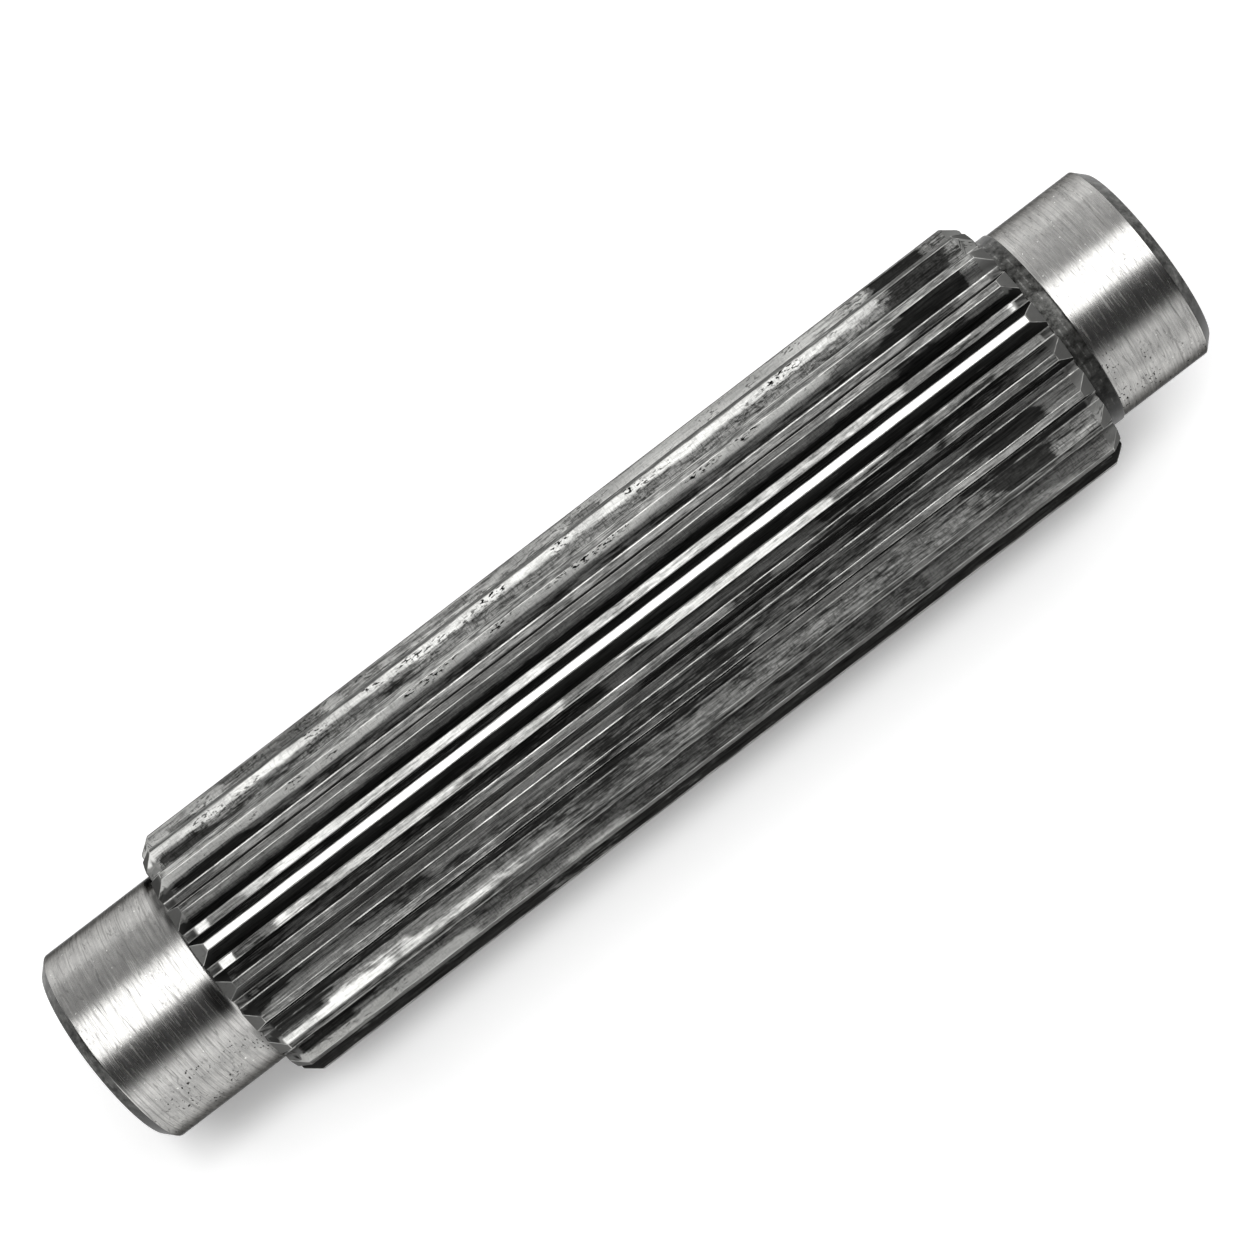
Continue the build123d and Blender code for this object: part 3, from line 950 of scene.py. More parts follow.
radius = np.hypot(y, z)
tooth = np.floor(turn / PITCH_DEGREES).astype(int)
root_number = np.round(turn / PITCH_DEGREES).astype(int)
from_centre = turn - (tooth + 0.5) * PITCH_DEGREES
depth_share = np.clip((TIP_RADIUS - radius) / (TIP_RADIUS - ROOT_RADIUS), 0, 1)
across_land = np.clip(from_centre / np.degrees(2 * TIP_HALF_ANGLE) + 0.5, 0, 1)
across_root = np.clip((turn - root_number * PITCH_DEGREES) / ROOT_DEGREES + 0.5, 0, 1)
on_root = columns >= ROOT_COLUMN
on_land = columns <= TIP_COLUMN
on_flank = ~on_root & ~on_land
faces = {
    "lamp": (on_flank & (from_centre < 0), tooth, depth_share),
    "land": (on_land, tooth, across_land),
    "far": (on_flank & (from_centre >= 0), tooth, depth_share),
    "root": (on_root, root_number, across_root),
    "round": (radius < COLLAR_RADIUS + ROUND_MARGIN, 0 * tooth, (turn + 90) / 180),
}
for face, (on_face, _, _) in faces.items():
    print(face, "points:", int(on_face.sum()))

# %% Paint the marks on the points
def soft_step(values, edge, fade):
    return np.clip((values - edge) / fade + 0.5, 0, 1)


def paint(name, marks, start, fade_along, fade_across):
    """Lays marks one over another and stores the level at each point under a name.

    start is the level before the first mark. fade_along is in mm, and fade_across is a share of the face.
    """
    level = np.full(count, start)
    for face, number, from_x, to_x, from_share, to_share, target, *lean in marks:
        on_face, numbers, share = faces[face]
        if number is not None:
            on_face = on_face & (numbers == number)
        place = x - (share - 0.5) * sum(lean)
        strength = soft_step(place, from_x, fade_along) * (1 - soft_step(place, to_x, fade_along))
        if from_share > 0:
            strength = strength * soft_step(share, from_share, fade_across)
        if to_share < 1:
            strength = strength * (1 - soft_step(share, to_share, fade_across))
        strength = strength * on_face
        level = level * (1 - strength) + target * strength
    put(shaft_mesh, name, "FLOAT", "POINT", level)
    print(f"{len(marks)} marks painted as {name}, mean level {level.mean():.2f}")


# The worn level also holds one mark of painted shade, on the far flank of tooth -2.
paint("worn", WEAR_AND_SHADE_MARKS, start=0.5, fade_along=1.0, fade_across=0.14)
paint("scuffed", SCUFF_MARKS, start=0.0, fade_along=2.0, fade_across=0.20)
paint("pitted", PIT_MARKS, start=0.0, fade_along=2.0, fade_across=0.06)
paint("soiled", PAINTED_SHADE_MARKS, start=0.0, fade_along=0.5, fade_across=0.04)

# %% [markdown]
# ## Worn blackened steel
#
# The teeth are alloy steel, milled and then hardened, which leaves the dark skin. The patches come from
# the painted level. Streaks run along the teeth, because both the cutter and the sliding hub move that
# way, so nearly every noise here is stretched longer along the shaft than across it. Only the ticks run
# across.
#
# To the eye, the skin is nearly black and a little rough, the stain is a dull grey, and the bare steel is
# pale and glossy. A scuffed face was rubbed evenly, so it is matt and shows less of the pattern. Pits are
# dark and dull, and the edges are rubbed bright. That lighter colour on the edges is also painted
# highlight, the thin bright lines that the rounded tip edges and root corners catch.

# %% Patterns on the teeth
def per_mm(along, across):
    """How often a pattern repeats per metre, from its grain along and across the unrolled skin in mm."""
    return (1 / (along * MM), 1 / (across * MM), 0.0)


worn_steel = materials[FINISH_WORN]
worn_steel.use_nodes = True
nodes = worn_steel.node_tree
skin_map = add_node(nodes, "ShaderNodeAttribute", attribute_name="unrolled").outputs["Vector"]
wear_and_shade_level = add_node(nodes, "ShaderNodeAttribute", attribute_name="worn").outputs["Fac"]
tip_edge = add_node(nodes, "ShaderNodeAttribute", attribute_name="tip_edge").outputs["Fac"]
root_edge = add_node(nodes, "ShaderNodeAttribute", attribute_name="root_edge").outputs["Fac"]
plain_end = add_node(nodes, "ShaderNodeAttribute", attribute_name="plain_end").outputs["Fac"]
scuffed = add_node(nodes, "ShaderNodeAttribute", attribute_name="scuffed").outputs["Fac"]
pitted = add_node(nodes, "ShaderNodeAttribute", attribute_name="pitted").outputs["Fac"]

# grain along and across in mm, detail, roughness of the noise, distortion
GRAINS = {
    "patch": ((9.0, 1.6), 6.0, 0.64, 0.3),
    "fray": ((2.4, 0.55), 4.0, 0.6, 0.2),
    "streak": ((13.0, 0.42), 4.0, 0.62, 0.0),
    "hair": ((4.0, 0.30), 2.0, 0.5, 0.4),
    "cloud": ((18.0, 5.0), 3.0, 0.5, 0.0),
    "crack": ((3.6, 0.8), 4.0, 0.62, 0.6),
    "pit": ((1.1, 0.36), 2.0, 0.5, 0.0),
    "pit_area": ((8.0, 3.0), 2.0, 0.5, 0.0),
    "tick": ((0.30, 1.3), 2.0, 0.5, 0.3),
    "nick": ((7.0, 1.6), 4.0, 0.6, 0.0),
}
grain = {}
for name, (size, detail, roughness, distortion) in GRAINS.items():
    stretched = add_node(
        nodes, "ShaderNodeVectorMath", {0: skin_map, 1: per_mm(*size)}, operation="MULTIPLY"
    )
    grain[name] = add_node(
        nodes, "ShaderNodeTexNoise",
        {
            "Vector": stretched, "Scale": 1.0, "Detail": detail,
            "Roughness": roughness, "Distortion": distortion,
        },
        noise_dimensions="2D",
    )
print("patterns on the teeth:", ", ".join(GRAINS))

# %% How far each spot has worn
NOISE_SHARES = {"patch": 0.60, "fray": 0.40, "streak": 0.34}   # how far each noise moves the level
HELD_SHARE = 0.9               # the chamfered ends were cut last and show this much less of the pattern
EVEN_FROM, EVEN_SHARE = 0.5, 0.4   # a face scuffed this much or more shows only this share of it
OFF_SKIN = (0.12, 0.40)        # between these levels the skin gives way to stain,
BARE = (0.52, 0.84)            # and between these the stain gives way to bare steel

held = add_node(
    nodes, "ShaderNodeMath", {0: plain_end, 1: -HELD_SHARE, 2: 1.0}, operation="MULTIPLY_ADD"
)
uneven = add_node(
    nodes, "ShaderNodeMapRange",
    {"Value": scuffed, "From Max": EVEN_FROM, "To Min": 1.0, "To Max": EVEN_SHARE},
)
broken_up = add_node(nodes, "ShaderNodeMath", {0: uneven, 1: held}, operation="MULTIPLY")
pattern = -sum(NOISE_SHARES.values()) / 2
for name, share in NOISE_SHARES.items():
    pattern = add_node(
        nodes, "ShaderNodeMath", {0: grain[name], 1: share, 2: pattern}, operation="MULTIPLY_ADD"
    )
total = add_node(
    nodes, "ShaderNodeMath", {0: pattern, 1: broken_up, 2: wear_and_shade_level}, operation="MULTIPLY_ADD"
)
off_skin = add_node(
    nodes, "ShaderNodeMapRange", {"Value": total, "From Min": OFF_SKIN[0], "From Max": OFF_SKIN[1]},
    interpolation_type="SMOOTHSTEP",
)
bare = add_node(
    nodes, "ShaderNodeMapRange", {"Value": total, "From Min": BARE[0], "From Max": BARE[1]},
    interpolation_type="SMOOTHSTEP",
)
print("skin gives way to stain at", OFF_SKIN, "and stain to bare steel at", BARE)

# %% Tones of skin, stain and bare steel
HAIR_SHARE = 0.7
LINE_RANGE = (0.54, 1.14)
CALM_TONE = 0.45               # the one tone between dark and light that the chamfered ends keep
CLOUD_RANGE = (0.35, 0.65)

lines = add_node(
    nodes, "ShaderNodeMath", {0: grain["hair"], 1: HAIR_SHARE, 2: grain["streak"]},
    operation="MULTIPLY_ADD",
)
all_lines = add_node(
    nodes, "ShaderNodeMapRange", {"Value": lines, "From Min": LINE_RANGE[0], "From Max": LINE_RANGE[1]}
)
calm = add_node(nodes, "ShaderNodeMath", {0: plain_end, 1: CALM_TONE}, operation="MULTIPLY")
line_tone = add_node(nodes, "ShaderNodeMath", {0: all_lines, 1: held, 2: calm}, operation="MULTIPLY_ADD")
cloud_tone = add_node(
    nodes, "ShaderNodeMapRange",
    {"Value": grain["cloud"], "From Min": CLOUD_RANGE[0], "From Max": CLOUD_RANGE[1]},
)
bare_lines = add_node(nodes, "ShaderNodeMath", {0: line_tone, 1: 0.5}, operation="MULTIPLY")
bare_mix = add_node(
    nodes, "ShaderNodeMath", {0: cloud_tone, 1: 0.5, 2: bare_lines}, operation="MULTIPLY_ADD"
)
TONES = {
    "skin": (line_tone, "101010", "3e3e3d"),
    "stain": (line_tone, "4a4a49", "949492"),
    "bare": (bare_mix, "b2b2b0", "e4e4e1"),
}
tones = {
    name: add_node(nodes, "ShaderNodeMix", {0: share, 6: colour(dark), 7: colour(light)}, data_type="RGBA")
    for name, (share, dark, light) in TONES.items()
}
lower = add_node(
    nodes, "ShaderNodeMix", {0: off_skin, 6: tones["skin"].outputs[2], 7: tones["stain"].outputs[2]},
    data_type="RGBA",
)
upper = add_node(
    nodes, "ShaderNodeMix", {0: bare, 6: lower.outputs[2], 7: tones["bare"].outputs[2]},
    data_type="RGBA",
)
print("tones:", {name: (dark, light) for name, (_, dark, light) in TONES.items()})

# %% Cracks and pits
CRACK_WIDTH = (0.004, 0.030)   # how near its middle value the noise is, at a crack's heart and its rim
CRACK_TONE = 0.65              # how dark a crack is
PITS = (0.60, 0.64)            # only the highest values of the noise make a pit
PIT_AREAS = (0.50, 0.60)
PITTED_GAIN = 0.06             # a row of pits lowers that bar a little,
PIT_GAIN, FEWEST_PITS = 1.1, 0.15   # and there the pits are deeper

# A thin line runs wherever the crack noise passes its middle value.
off_middle = add_node(nodes, "ShaderNodeMath", {0: grain["crack"], 1: 0.5}, operation="SUBTRACT")
from_line = add_node(nodes, "ShaderNodeMath", {0: off_middle}, operation="ABSOLUTE")
cracks = add_node(
    nodes, "ShaderNodeMapRange",
    {
        "Value": from_line, "From Min": CRACK_WIDTH[0], "From Max": CRACK_WIDTH[1],
        "To Min": CRACK_TONE, "To Max": 0.0,
    },
)
pit_bed = add_node(
    nodes, "ShaderNodeMath", {0: pitted, 1: PITTED_GAIN, 2: grain["pit"]}, operation="MULTIPLY_ADD"
)
pit_here = add_node(
    nodes, "ShaderNodeMapRange", {"Value": pit_bed, "From Min": PITS[0], "From Max": PITS[1]}
)
pit_place = add_node(
    nodes, "ShaderNodeMapRange",
    {"Value": grain["pit_area"], "From Min": PIT_AREAS[0], "From Max": PIT_AREAS[1]},
)
pit_depth = add_node(
    nodes, "ShaderNodeMath", {0: pitted, 1: PIT_GAIN, 2: FEWEST_PITS},
    operation="MULTIPLY_ADD", use_clamp=True,
)
pit_share = add_node(nodes, "ShaderNodeMath", {0: pit_place, 1: pit_depth}, operation="MULTIPLY")
pits = add_node(nodes, "ShaderNodeMath", {0: pit_here, 1: pit_share}, operation="MULTIPLY")
print(f"cracks up to a tone of {CRACK_TONE}, and pits above {PITS[0]} of their noise")

# %% Ticks, and which marks show where
TICKS = (0.54, 0.72)
TICK_TONE = 0.55
SPARED = 0.55                  # bare steel has been rubbed, so it carries fewer fine marks
FEWEST_MARKS, MARKS_GAIN = 0.5, 0.9   # and where the pits are many, the other marks are stronger

ticks = add_node(
    nodes, "ShaderNodeMapRange",
    {
        "Value": grain["tick"], "From Min": TICKS[0], "From Max": TICKS[1],
        "To Min": 0.0, "To Max": TICK_TONE,
    },
)
all_fine = add_node(nodes, "ShaderNodeMath", {0: cracks, 1: ticks}, operation="MAXIMUM")
spared = add_node(
    nodes, "ShaderNodeMath", {0: bare, 1: -SPARED, 2: held}, operation="MULTIPLY_ADD", use_clamp=True
)
coarse = add_node(
    nodes, "ShaderNodeMath", {0: pitted, 1: MARKS_GAIN, 2: FEWEST_MARKS},
    operation="MULTIPLY_ADD", use_clamp=True,
)
most_fine = add_node(nodes, "ShaderNodeMath", {0: all_fine, 1: spared}, operation="MULTIPLY")
fine_marks = add_node(nodes, "ShaderNodeMath", {0: most_fine, 1: coarse}, operation="MULTIPLY")
marks = add_node(nodes, "ShaderNodeMath", {0: fine_marks, 1: pits}, operation="MAXIMUM")
marked = add_node(
    nodes, "ShaderNodeMix", {0: marks, 6: upper.outputs[2], 7: colour("232322")}, data_type="RGBA"
)
print("the worn finish has", len(nodes.nodes), "nodes so far")

# %% Rubbed edges and painted edge highlights
RUBBED_AND_HIGHLIT_FROM, RUBBED_AND_HIGHLIT_FULL = 0.38, 0.58
LEAST_RUBBED_AND_HIGHLIT, MOST_RUBBED_AND_HIGHLIT = 0.10, 0.9

# Partly painted highlight: the edges are rubbed bright, and the same lighter colour also paints the thin
# highlight lines that the rounded tip edges and root corners catch.
edges = add_node(nodes, "ShaderNodeMath", {0: tip_edge, 1: root_edge}, operation="MAXIMUM")
rubbed_and_highlit_part = add_node(
    nodes, "ShaderNodeMapRange",
    {
        "Value": grain["nick"], "From Min": RUBBED_AND_HIGHLIT_FROM, "From Max": RUBBED_AND_HIGHLIT_FULL,
        "To Min": LEAST_RUBBED_AND_HIGHLIT, "To Max": MOST_RUBBED_AND_HIGHLIT,
    },
)
rubbed_and_highlit_edge = add_node(nodes, "ShaderNodeMath", {0: edges, 1: rubbed_and_highlit_part}, operation="MULTIPLY")
finished = add_node(
    nodes, "ShaderNodeMix", {0: rubbed_and_highlit_edge, 6: marked.outputs[2], 7: colour("d8d8d5")}, data_type="RGBA"
)
print(f"the edges are rubbed bright by {LEAST_RUBBED_AND_HIGHLIT} to {MOST_RUBBED_AND_HIGHLIT}")

# %% Roughness and relief of the teeth
SKIN_ROUGHNESS, BARE_ROUGHNESS = 0.40, 0.24
ROUGHER = ((scuffed, 0.28), (grain["streak"], 0.16), (marks, 0.25))   # what adds to it, and how much
DEEPER = ((marks, -1.2), (off_skin, -0.3))   # what lies lower than the lines, and how much
RELIEF_HEIGHT = 0.010 * MM

roughness = add_node(
    nodes, "ShaderNodeMapRange", {"Value": bare, "To Min": SKIN_ROUGHNESS, "To Max": BARE_ROUGHNESS}
)
for source, gain in ROUGHER:
    roughness = add_node(
        nodes, "ShaderNodeMath", {0: source, 1: gain, 2: roughness}, operation="MULTIPLY_ADD"
    )
height = lines
for source, gain in DEEPER:
    height = add_node(nodes, "ShaderNodeMath", {0: source, 1: gain, 2: height}, operation="MULTIPLY_ADD")
relief = add_node(nodes, "ShaderNodeBump", {"Height": height, "Strength": 1.0, "Distance": RELIEF_HEIGHT})
shader = nodes.nodes["Principled BSDF"]
shader.inputs["Metallic"].default_value = 1.0
shader.inputs["Specular Tint"].default_value = colour("808080")   # dull at a glancing angle
nodes.links.new(finished.outputs[2], shader.inputs["Base Color"])
nodes.links.new(roughness.outputs[0], shader.inputs["Roughness"])
nodes.links.new(relief.outputs[0], shader.inputs["Normal"])
print(f"{worn_steel.name} is done, with {len(nodes.nodes)} nodes")

# %% [markdown]
# ## Ground steel
#
# The journals were finished on a cylindrical grinder. The wheel leaves fine rings round the shaft, so the
# noise is stretched the other way, far longer round the shaft than along it. Rings differ in roughness,
# and so a highlight frays at its border where they cross it.
#
# To the eye the journals are a pale, even grey with faint clouds and a fine mottle. Handling adds small
# pits and scratches. A few bright glints are painted highlight. The corner between a journal and the
# teeth is painted dark, as painted shade and a painted reflection of the teeth's dark ends, and the
# journals are painted darker near their two sides, as painted shade in what they mirror.

# %% Patterns on the journals
ground_steel = materials[FINISH_GROUND]
ground_steel.use_nodes = True
nodes = ground_steel.node_tree
skin_map = add_node(nodes, "ShaderNodeAttribute", attribute_name="unrolled").outputs["Vector"]
# grain along and round the shaft in mm, detail, roughness of the noise, distortion
GROUND_GRAINS = {
    "ring": ((0.36, 60.0), 4.0, 0.65, 0.0),
    "band": ((2.6, 45.0), 3.0, 0.6, 0.0),
    "short_ring": ((0.36, 6.0), 3.0, 0.6, 0.0),
    "cloud": ((6.0, 6.0), 5.0, 0.6, 0.3),
    "mottle": ((0.8, 2.2), 4.0, 0.6, 0.2),
    "scratch": ((1.0, 14.0), 2.0, 0.5, 0.4),
    "groove": ((0.45, 26.0), 2.0, 0.5, 0.0),
    "pit": ((0.55, 0.8), 2.0, 0.5, 0.0),
    "pit_area": ((6.0, 6.0), 2.0, 0.5, 0.0),
    "glint": ((0.8, 1.0), 1.0, 0.5, 0.0),
}
grain = {}
for name, (size, detail, roughness, distortion) in GROUND_GRAINS.items():
    stretched = add_node(
        nodes, "ShaderNodeVectorMath", {0: skin_map, 1: per_mm(*size)}, operation="MULTIPLY"
    )
    grain[name] = add_node(
        nodes, "ShaderNodeTexNoise",
        {
            "Vector": stretched, "Scale": 1.0, "Detail": detail,
            "Roughness": roughness, "Distortion": distortion,
        },
        noise_dimensions="2D",
    )
print("patterns on the journals:", ", ".join(GROUND_GRAINS))

# %% Rings and mottling of the journals
SHORT_RING_SHARE, BAND_SHARE = 0.8, 0.3
RING_RANGE = (0.80, 1.30)
CLOUDS = (0.38, 0.62, 0.22)    # values of the noise where the clouds begin and are full, how strong they are
MOTTLING = (0.42, 0.68, 0.26)

soiled = add_node(nodes, "ShaderNodeAttribute", attribute_name="soiled").outputs["Fac"]
pitted = add_node(nodes, "ShaderNodeAttribute", attribute_name="pitted").outputs["Fac"]
fine_rings = add_node(
    nodes, "ShaderNodeMath", {0: grain["short_ring"], 1: SHORT_RING_SHARE, 2: grain["ring"]},
    operation="MULTIPLY_ADD",
)
lines = add_node(
    nodes, "ShaderNodeMath", {0: grain["band"], 1: BAND_SHARE, 2: fine_rings}, operation="MULTIPLY_ADD"
)
ring_tone = add_node(
    nodes, "ShaderNodeMapRange", {"Value": lines, "From Min": RING_RANGE[0], "From Max": RING_RANGE[1]}
)
ring_colour = add_node(
    nodes, "ShaderNodeMix", {0: ring_tone, 6: colour("adacaa"), 7: colour("c6c5c2")}, data_type="RGBA"
)
cloud_part = add_node(
    nodes, "ShaderNodeMapRange",
    {"Value": grain["cloud"], "From Min": CLOUDS[0], "From Max": CLOUDS[1], "To Max": CLOUDS[2]},
)
clouded = add_node(
    nodes, "ShaderNodeMix", {0: cloud_part, 6: ring_colour.outputs[2], 7: colour("8e8e8d")},
    data_type="RGBA",
)
mottle_part = add_node(
    nodes, "ShaderNodeMapRange",
    {"Value": grain["mottle"], "From Min": MOTTLING[0], "From Max": MOTTLING[1], "To Max": MOTTLING[2]},
)
mottled = add_node(
    nodes, "ShaderNodeMix", {0: mottle_part, 6: clouded.outputs[2], 7: colour("808080")}, data_type="RGBA"
)
print(f"clouds up to {CLOUDS[2]} and mottling up to {MOTTLING[2]}")

# %% Scratches, pits, glints and painted shade on the journals
SCRATCH_WIDTH = (0.003, 0.016)   # how near its middle value the noise is, at a scratch's heart and its rim
SCRATCH_TONE = 0.4             # how dark a scratch is
GROOVES = (0.62, 0.72, 0.26)
GROUND_PITS = (0.64, 0.70)
GROUND_PIT_AREAS = (0.50, 0.60)
GROUND_PIT_GAIN, GROUND_FEWEST_PITS = 0.75, 0.25
GLINTS = (0.80, 0.84)

off_middle = add_node(nodes, "ShaderNodeMath", {0: grain["scratch"], 1: 0.5}, operation="SUBTRACT")
from_line = add_node(nodes, "ShaderNodeMath", {0: off_middle}, operation="ABSOLUTE")
scratches = add_node(
    nodes, "ShaderNodeMapRange",
    {
        "Value": from_line, "From Min": SCRATCH_WIDTH[0], "From Max": SCRATCH_WIDTH[1],
        "To Min": SCRATCH_TONE, "To Max": 0.0,
    },
)
grooves = add_node(
    nodes, "ShaderNodeMapRange",
    {"Value": grain["groove"], "From Min": GROOVES[0], "From Max": GROOVES[1], "To Max": GROOVES[2]},
)
pit_here = add_node(
    nodes, "ShaderNodeMapRange",
    {"Value": grain["pit"], "From Min": GROUND_PITS[0], "From Max": GROUND_PITS[1]},
)
pit_place = add_node(
    nodes, "ShaderNodeMapRange",
    {"Value": grain["pit_area"], "From Min": GROUND_PIT_AREAS[0], "From Max": GROUND_PIT_AREAS[1]},
)
pit_share = add_node(
    nodes, "ShaderNodeMath", {0: pitted, 1: GROUND_PIT_GAIN, 2: GROUND_FEWEST_PITS},
    operation="MULTIPLY_ADD",
)
pit_field = add_node(nodes, "ShaderNodeMath", {0: pit_place, 1: pit_share}, operation="MULTIPLY")
pits = add_node(nodes, "ShaderNodeMath", {0: pit_here, 1: pit_field}, operation="MULTIPLY")
hair_lines = add_node(nodes, "ShaderNodeMath", {0: scratches, 1: grooves}, operation="MAXIMUM")
marks = add_node(nodes, "ShaderNodeMath", {0: pits, 1: hair_lines}, operation="MAXIMUM")
marked = add_node(
    nodes, "ShaderNodeMix", {0: marks, 6: mottled.outputs[2], 7: colour("363635")}, data_type="RGBA"
)
# Painted highlight: a few tiny spots take a paler colour, as glints.
glints = add_node(
    nodes, "ShaderNodeMapRange", {"Value": grain["glint"], "From Min": GLINTS[0], "From Max": GLINTS[1]}
)
bright_marks = add_node(
    nodes, "ShaderNodeMix", {0: glints, 6: marked.outputs[2], 7: colour("e8e8e4")}, data_type="RGBA"
)
# Painted shade: the painted level darkens the journal towards 20201f by the shoulder and near its sides.
shaded_colour = add_node(
    nodes, "ShaderNodeMix", {0: soiled, 6: bright_marks.outputs[2], 7: colour("20201f")}, data_type="RGBA"
)
print("the ground finish has", len(nodes.nodes), "nodes so far")

# %% Roughness and relief of the journals
SMOOTH_RINGS = (0.60, 1.20)    # between these values of the rings,
RING_ROUGHNESS = (0.26, 0.17)  # their roughness runs from this to that
ROUGH_RINGS = (0.54, 0.70, 0.13)   # and some rings are rougher by up to the last number
MARK_ROUGHNESS = 0.25
RING_HEIGHT = 0.0018 * MM

smooth_rings = add_node(
    nodes, "ShaderNodeMapRange",
    {
        "Value": fine_rings, "From Min": SMOOTH_RINGS[0], "From Max": SMOOTH_RINGS[1],
        "To Min": RING_ROUGHNESS[0], "To Max": RING_ROUGHNESS[1],
    },
)
rough_rings = add_node(
    nodes, "ShaderNodeMapRange",
    {
        "Value": grain["short_ring"], "From Min": ROUGH_RINGS[0], "From Max": ROUGH_RINGS[1],
        "To Max": ROUGH_RINGS[2],
    },
)
ringed = add_node(nodes, "ShaderNodeMath", {0: smooth_rings, 1: rough_rings})
roughness = add_node(
    nodes, "ShaderNodeMath", {0: marks, 1: MARK_ROUGHNESS, 2: ringed}, operation="MULTIPLY_ADD"
)
relief = add_node(nodes, "ShaderNodeBump", {"Height": lines, "Strength": 1.0, "Distance": RING_HEIGHT})
shader = nodes.nodes["Principled BSDF"]
shader.inputs["Metallic"].default_value = 1.0
shader.inputs["Specular Tint"].default_value = colour("707070")   # dull at a glancing angle
nodes.links.new(shaded_colour.outputs[2], shader.inputs["Base Color"])
nodes.links.new(roughness.outputs[0], shader.inputs["Roughness"])
nodes.links.new(relief.outputs[0], shader.inputs["Normal"])
print(f"{ground_steel.name} is done, with {len(nodes.nodes)} nodes")

# %% [markdown]
# ## Dark turned steel and faced steel
#
# The end chamfers, the collar and the end faces were turned on a lathe before hardening and never ground
# afterwards. They keep the dark skin, mottled by handling, with the lathe tool's rings still in it. Where
# the skin is dark, the side away from the lamp is painted darker, as painted shade. The flat ends are
# cleaner, because they rest against other things.

# %% Sizes and tones of the lathe finishes
TURNED_RING = 0.4 * MM         # size of the lathe tool's rings
MOTTLE_SIZE = 1.9 * MM
RUBBED_RINGS = (0.50, 0.72)    # which rings are rubbed,
RUBBED_PLACES = (0.50, 0.80)   # and where
ROUGHNESS_BELOW, ROUGHNESS_ABOVE = 0.08, 0.10   # how far the roughness strays from its base
TURNED_RELIEF = 0.012 * MM
SHADE_FROM = -6.0 * MM         # how far across the shaft the painted shade begins, on the side away from the lamp,
SHADE_TO = -14.0 * MM          # and where it is full
# dark, light and rubbed tone, base roughness, how strong the painted shade is
LATHE_FINISHES = {
    FINISH_DARK: ("20201f", "666664", "b0b0ae", 0.42, 0.75),
    FINISH_FACED: ("6c6c6b", "848482", "a8a8a6", 0.36, 0.0),
}
print(f"the lathe tool's rings are about {TURNED_RING / MM:.1f} mm wide")

# %% The two lathe finishes
for number, (dark, light, rubbed, base, shade_share) in LATHE_FINISHES.items():
    materials[number].use_nodes = True
    nodes = materials[number].node_tree
    where = add_node(nodes, "ShaderNodeTexCoord").outputs["Object"]
    parts = add_node(nodes, "ShaderNodeSeparateXYZ", {0: where})
    ring_y = add_node(nodes, "ShaderNodeMath", {0: parts.outputs["Y"], 1: 2.0}, operation="POWER")
    ring_z = add_node(nodes, "ShaderNodeMath", {0: parts.outputs["Z"], 1: 2.0}, operation="POWER")
    squares = add_node(nodes, "ShaderNodeMath", {0: ring_y, 1: ring_z})
    from_axis = add_node(nodes, "ShaderNodeMath", {0: squares, 1: 0.5}, operation="POWER")
    travel = add_node(nodes, "ShaderNodeMath", {0: parts.outputs["X"], 1: from_axis})
    turning = add_node(
        nodes, "ShaderNodeTexNoise", {"W": travel, "Scale": 1 / TURNED_RING, "Detail": 3.0},
        noise_dimensions="1D",
    )
    mottle = add_node(
        nodes, "ShaderNodeTexNoise",
        {"Vector": where, "Scale": 1 / MOTTLE_SIZE, "Detail": 7.0, "Roughness": 0.70},
    )
    mottled = add_node(nodes, "ShaderNodeMapRange", {"Value": mottle, "From Min": 0.35, "From Max": 0.65})
    tone = add_node(
        nodes, "ShaderNodeMix", {0: mottled, 6: colour(dark), 7: colour(light)}, data_type="RGBA"
    )
    rub = add_node(
        nodes, "ShaderNodeMapRange",
        {"Value": turning, "From Min": RUBBED_RINGS[0], "From Max": RUBBED_RINGS[1]},
    )
    rub_place = add_node(
        nodes, "ShaderNodeMapRange",
        {"Value": mottle, "From Min": RUBBED_PLACES[0], "From Max": RUBBED_PLACES[1]},
    )
    rubbed_rings = add_node(nodes, "ShaderNodeMath", {0: rub, 1: rub_place}, operation="MULTIPLY")
    worn_tone = add_node(
        nodes, "ShaderNodeMix", {0: rubbed_rings, 6: tone.outputs[2], 7: colour(rubbed)},
        data_type="RGBA",
    )
    # Painted shade: the side away from the lamp is painted darker, towards 0c0c0c.
    painted_shade = add_node(
        nodes, "ShaderNodeMapRange",
        {"Value": parts.outputs["Y"], "From Min": SHADE_FROM, "From Max": SHADE_TO, "To Max": shade_share},
    )
    shaded_tone = add_node(
        nodes, "ShaderNodeMix", {0: painted_shade, 6: worn_tone.outputs[2], 7: colour("0c0c0c")}, data_type="RGBA"
    )
    roughness = add_node(
        nodes, "ShaderNodeMapRange",
        {"Value": mottle, "To Min": base - ROUGHNESS_BELOW, "To Max": base + ROUGHNESS_ABOVE},
    )
    relief = add_node(
        nodes, "ShaderNodeBump", {"Height": turning, "Strength": 1.0, "Distance": TURNED_RELIEF}
    )
    shader = nodes.nodes["Principled BSDF"]
    shader.inputs["Metallic"].default_value = 1.0
    nodes.links.new(shaded_tone.outputs[2], shader.inputs["Base Color"])
    nodes.links.new(roughness.outputs[0], shader.inputs["Roughness"])
    nodes.links.new(relief.outputs[0], shader.inputs["Normal"])
print("lathe finishes:", [materials[number].name for number in LATHE_FINISHES])

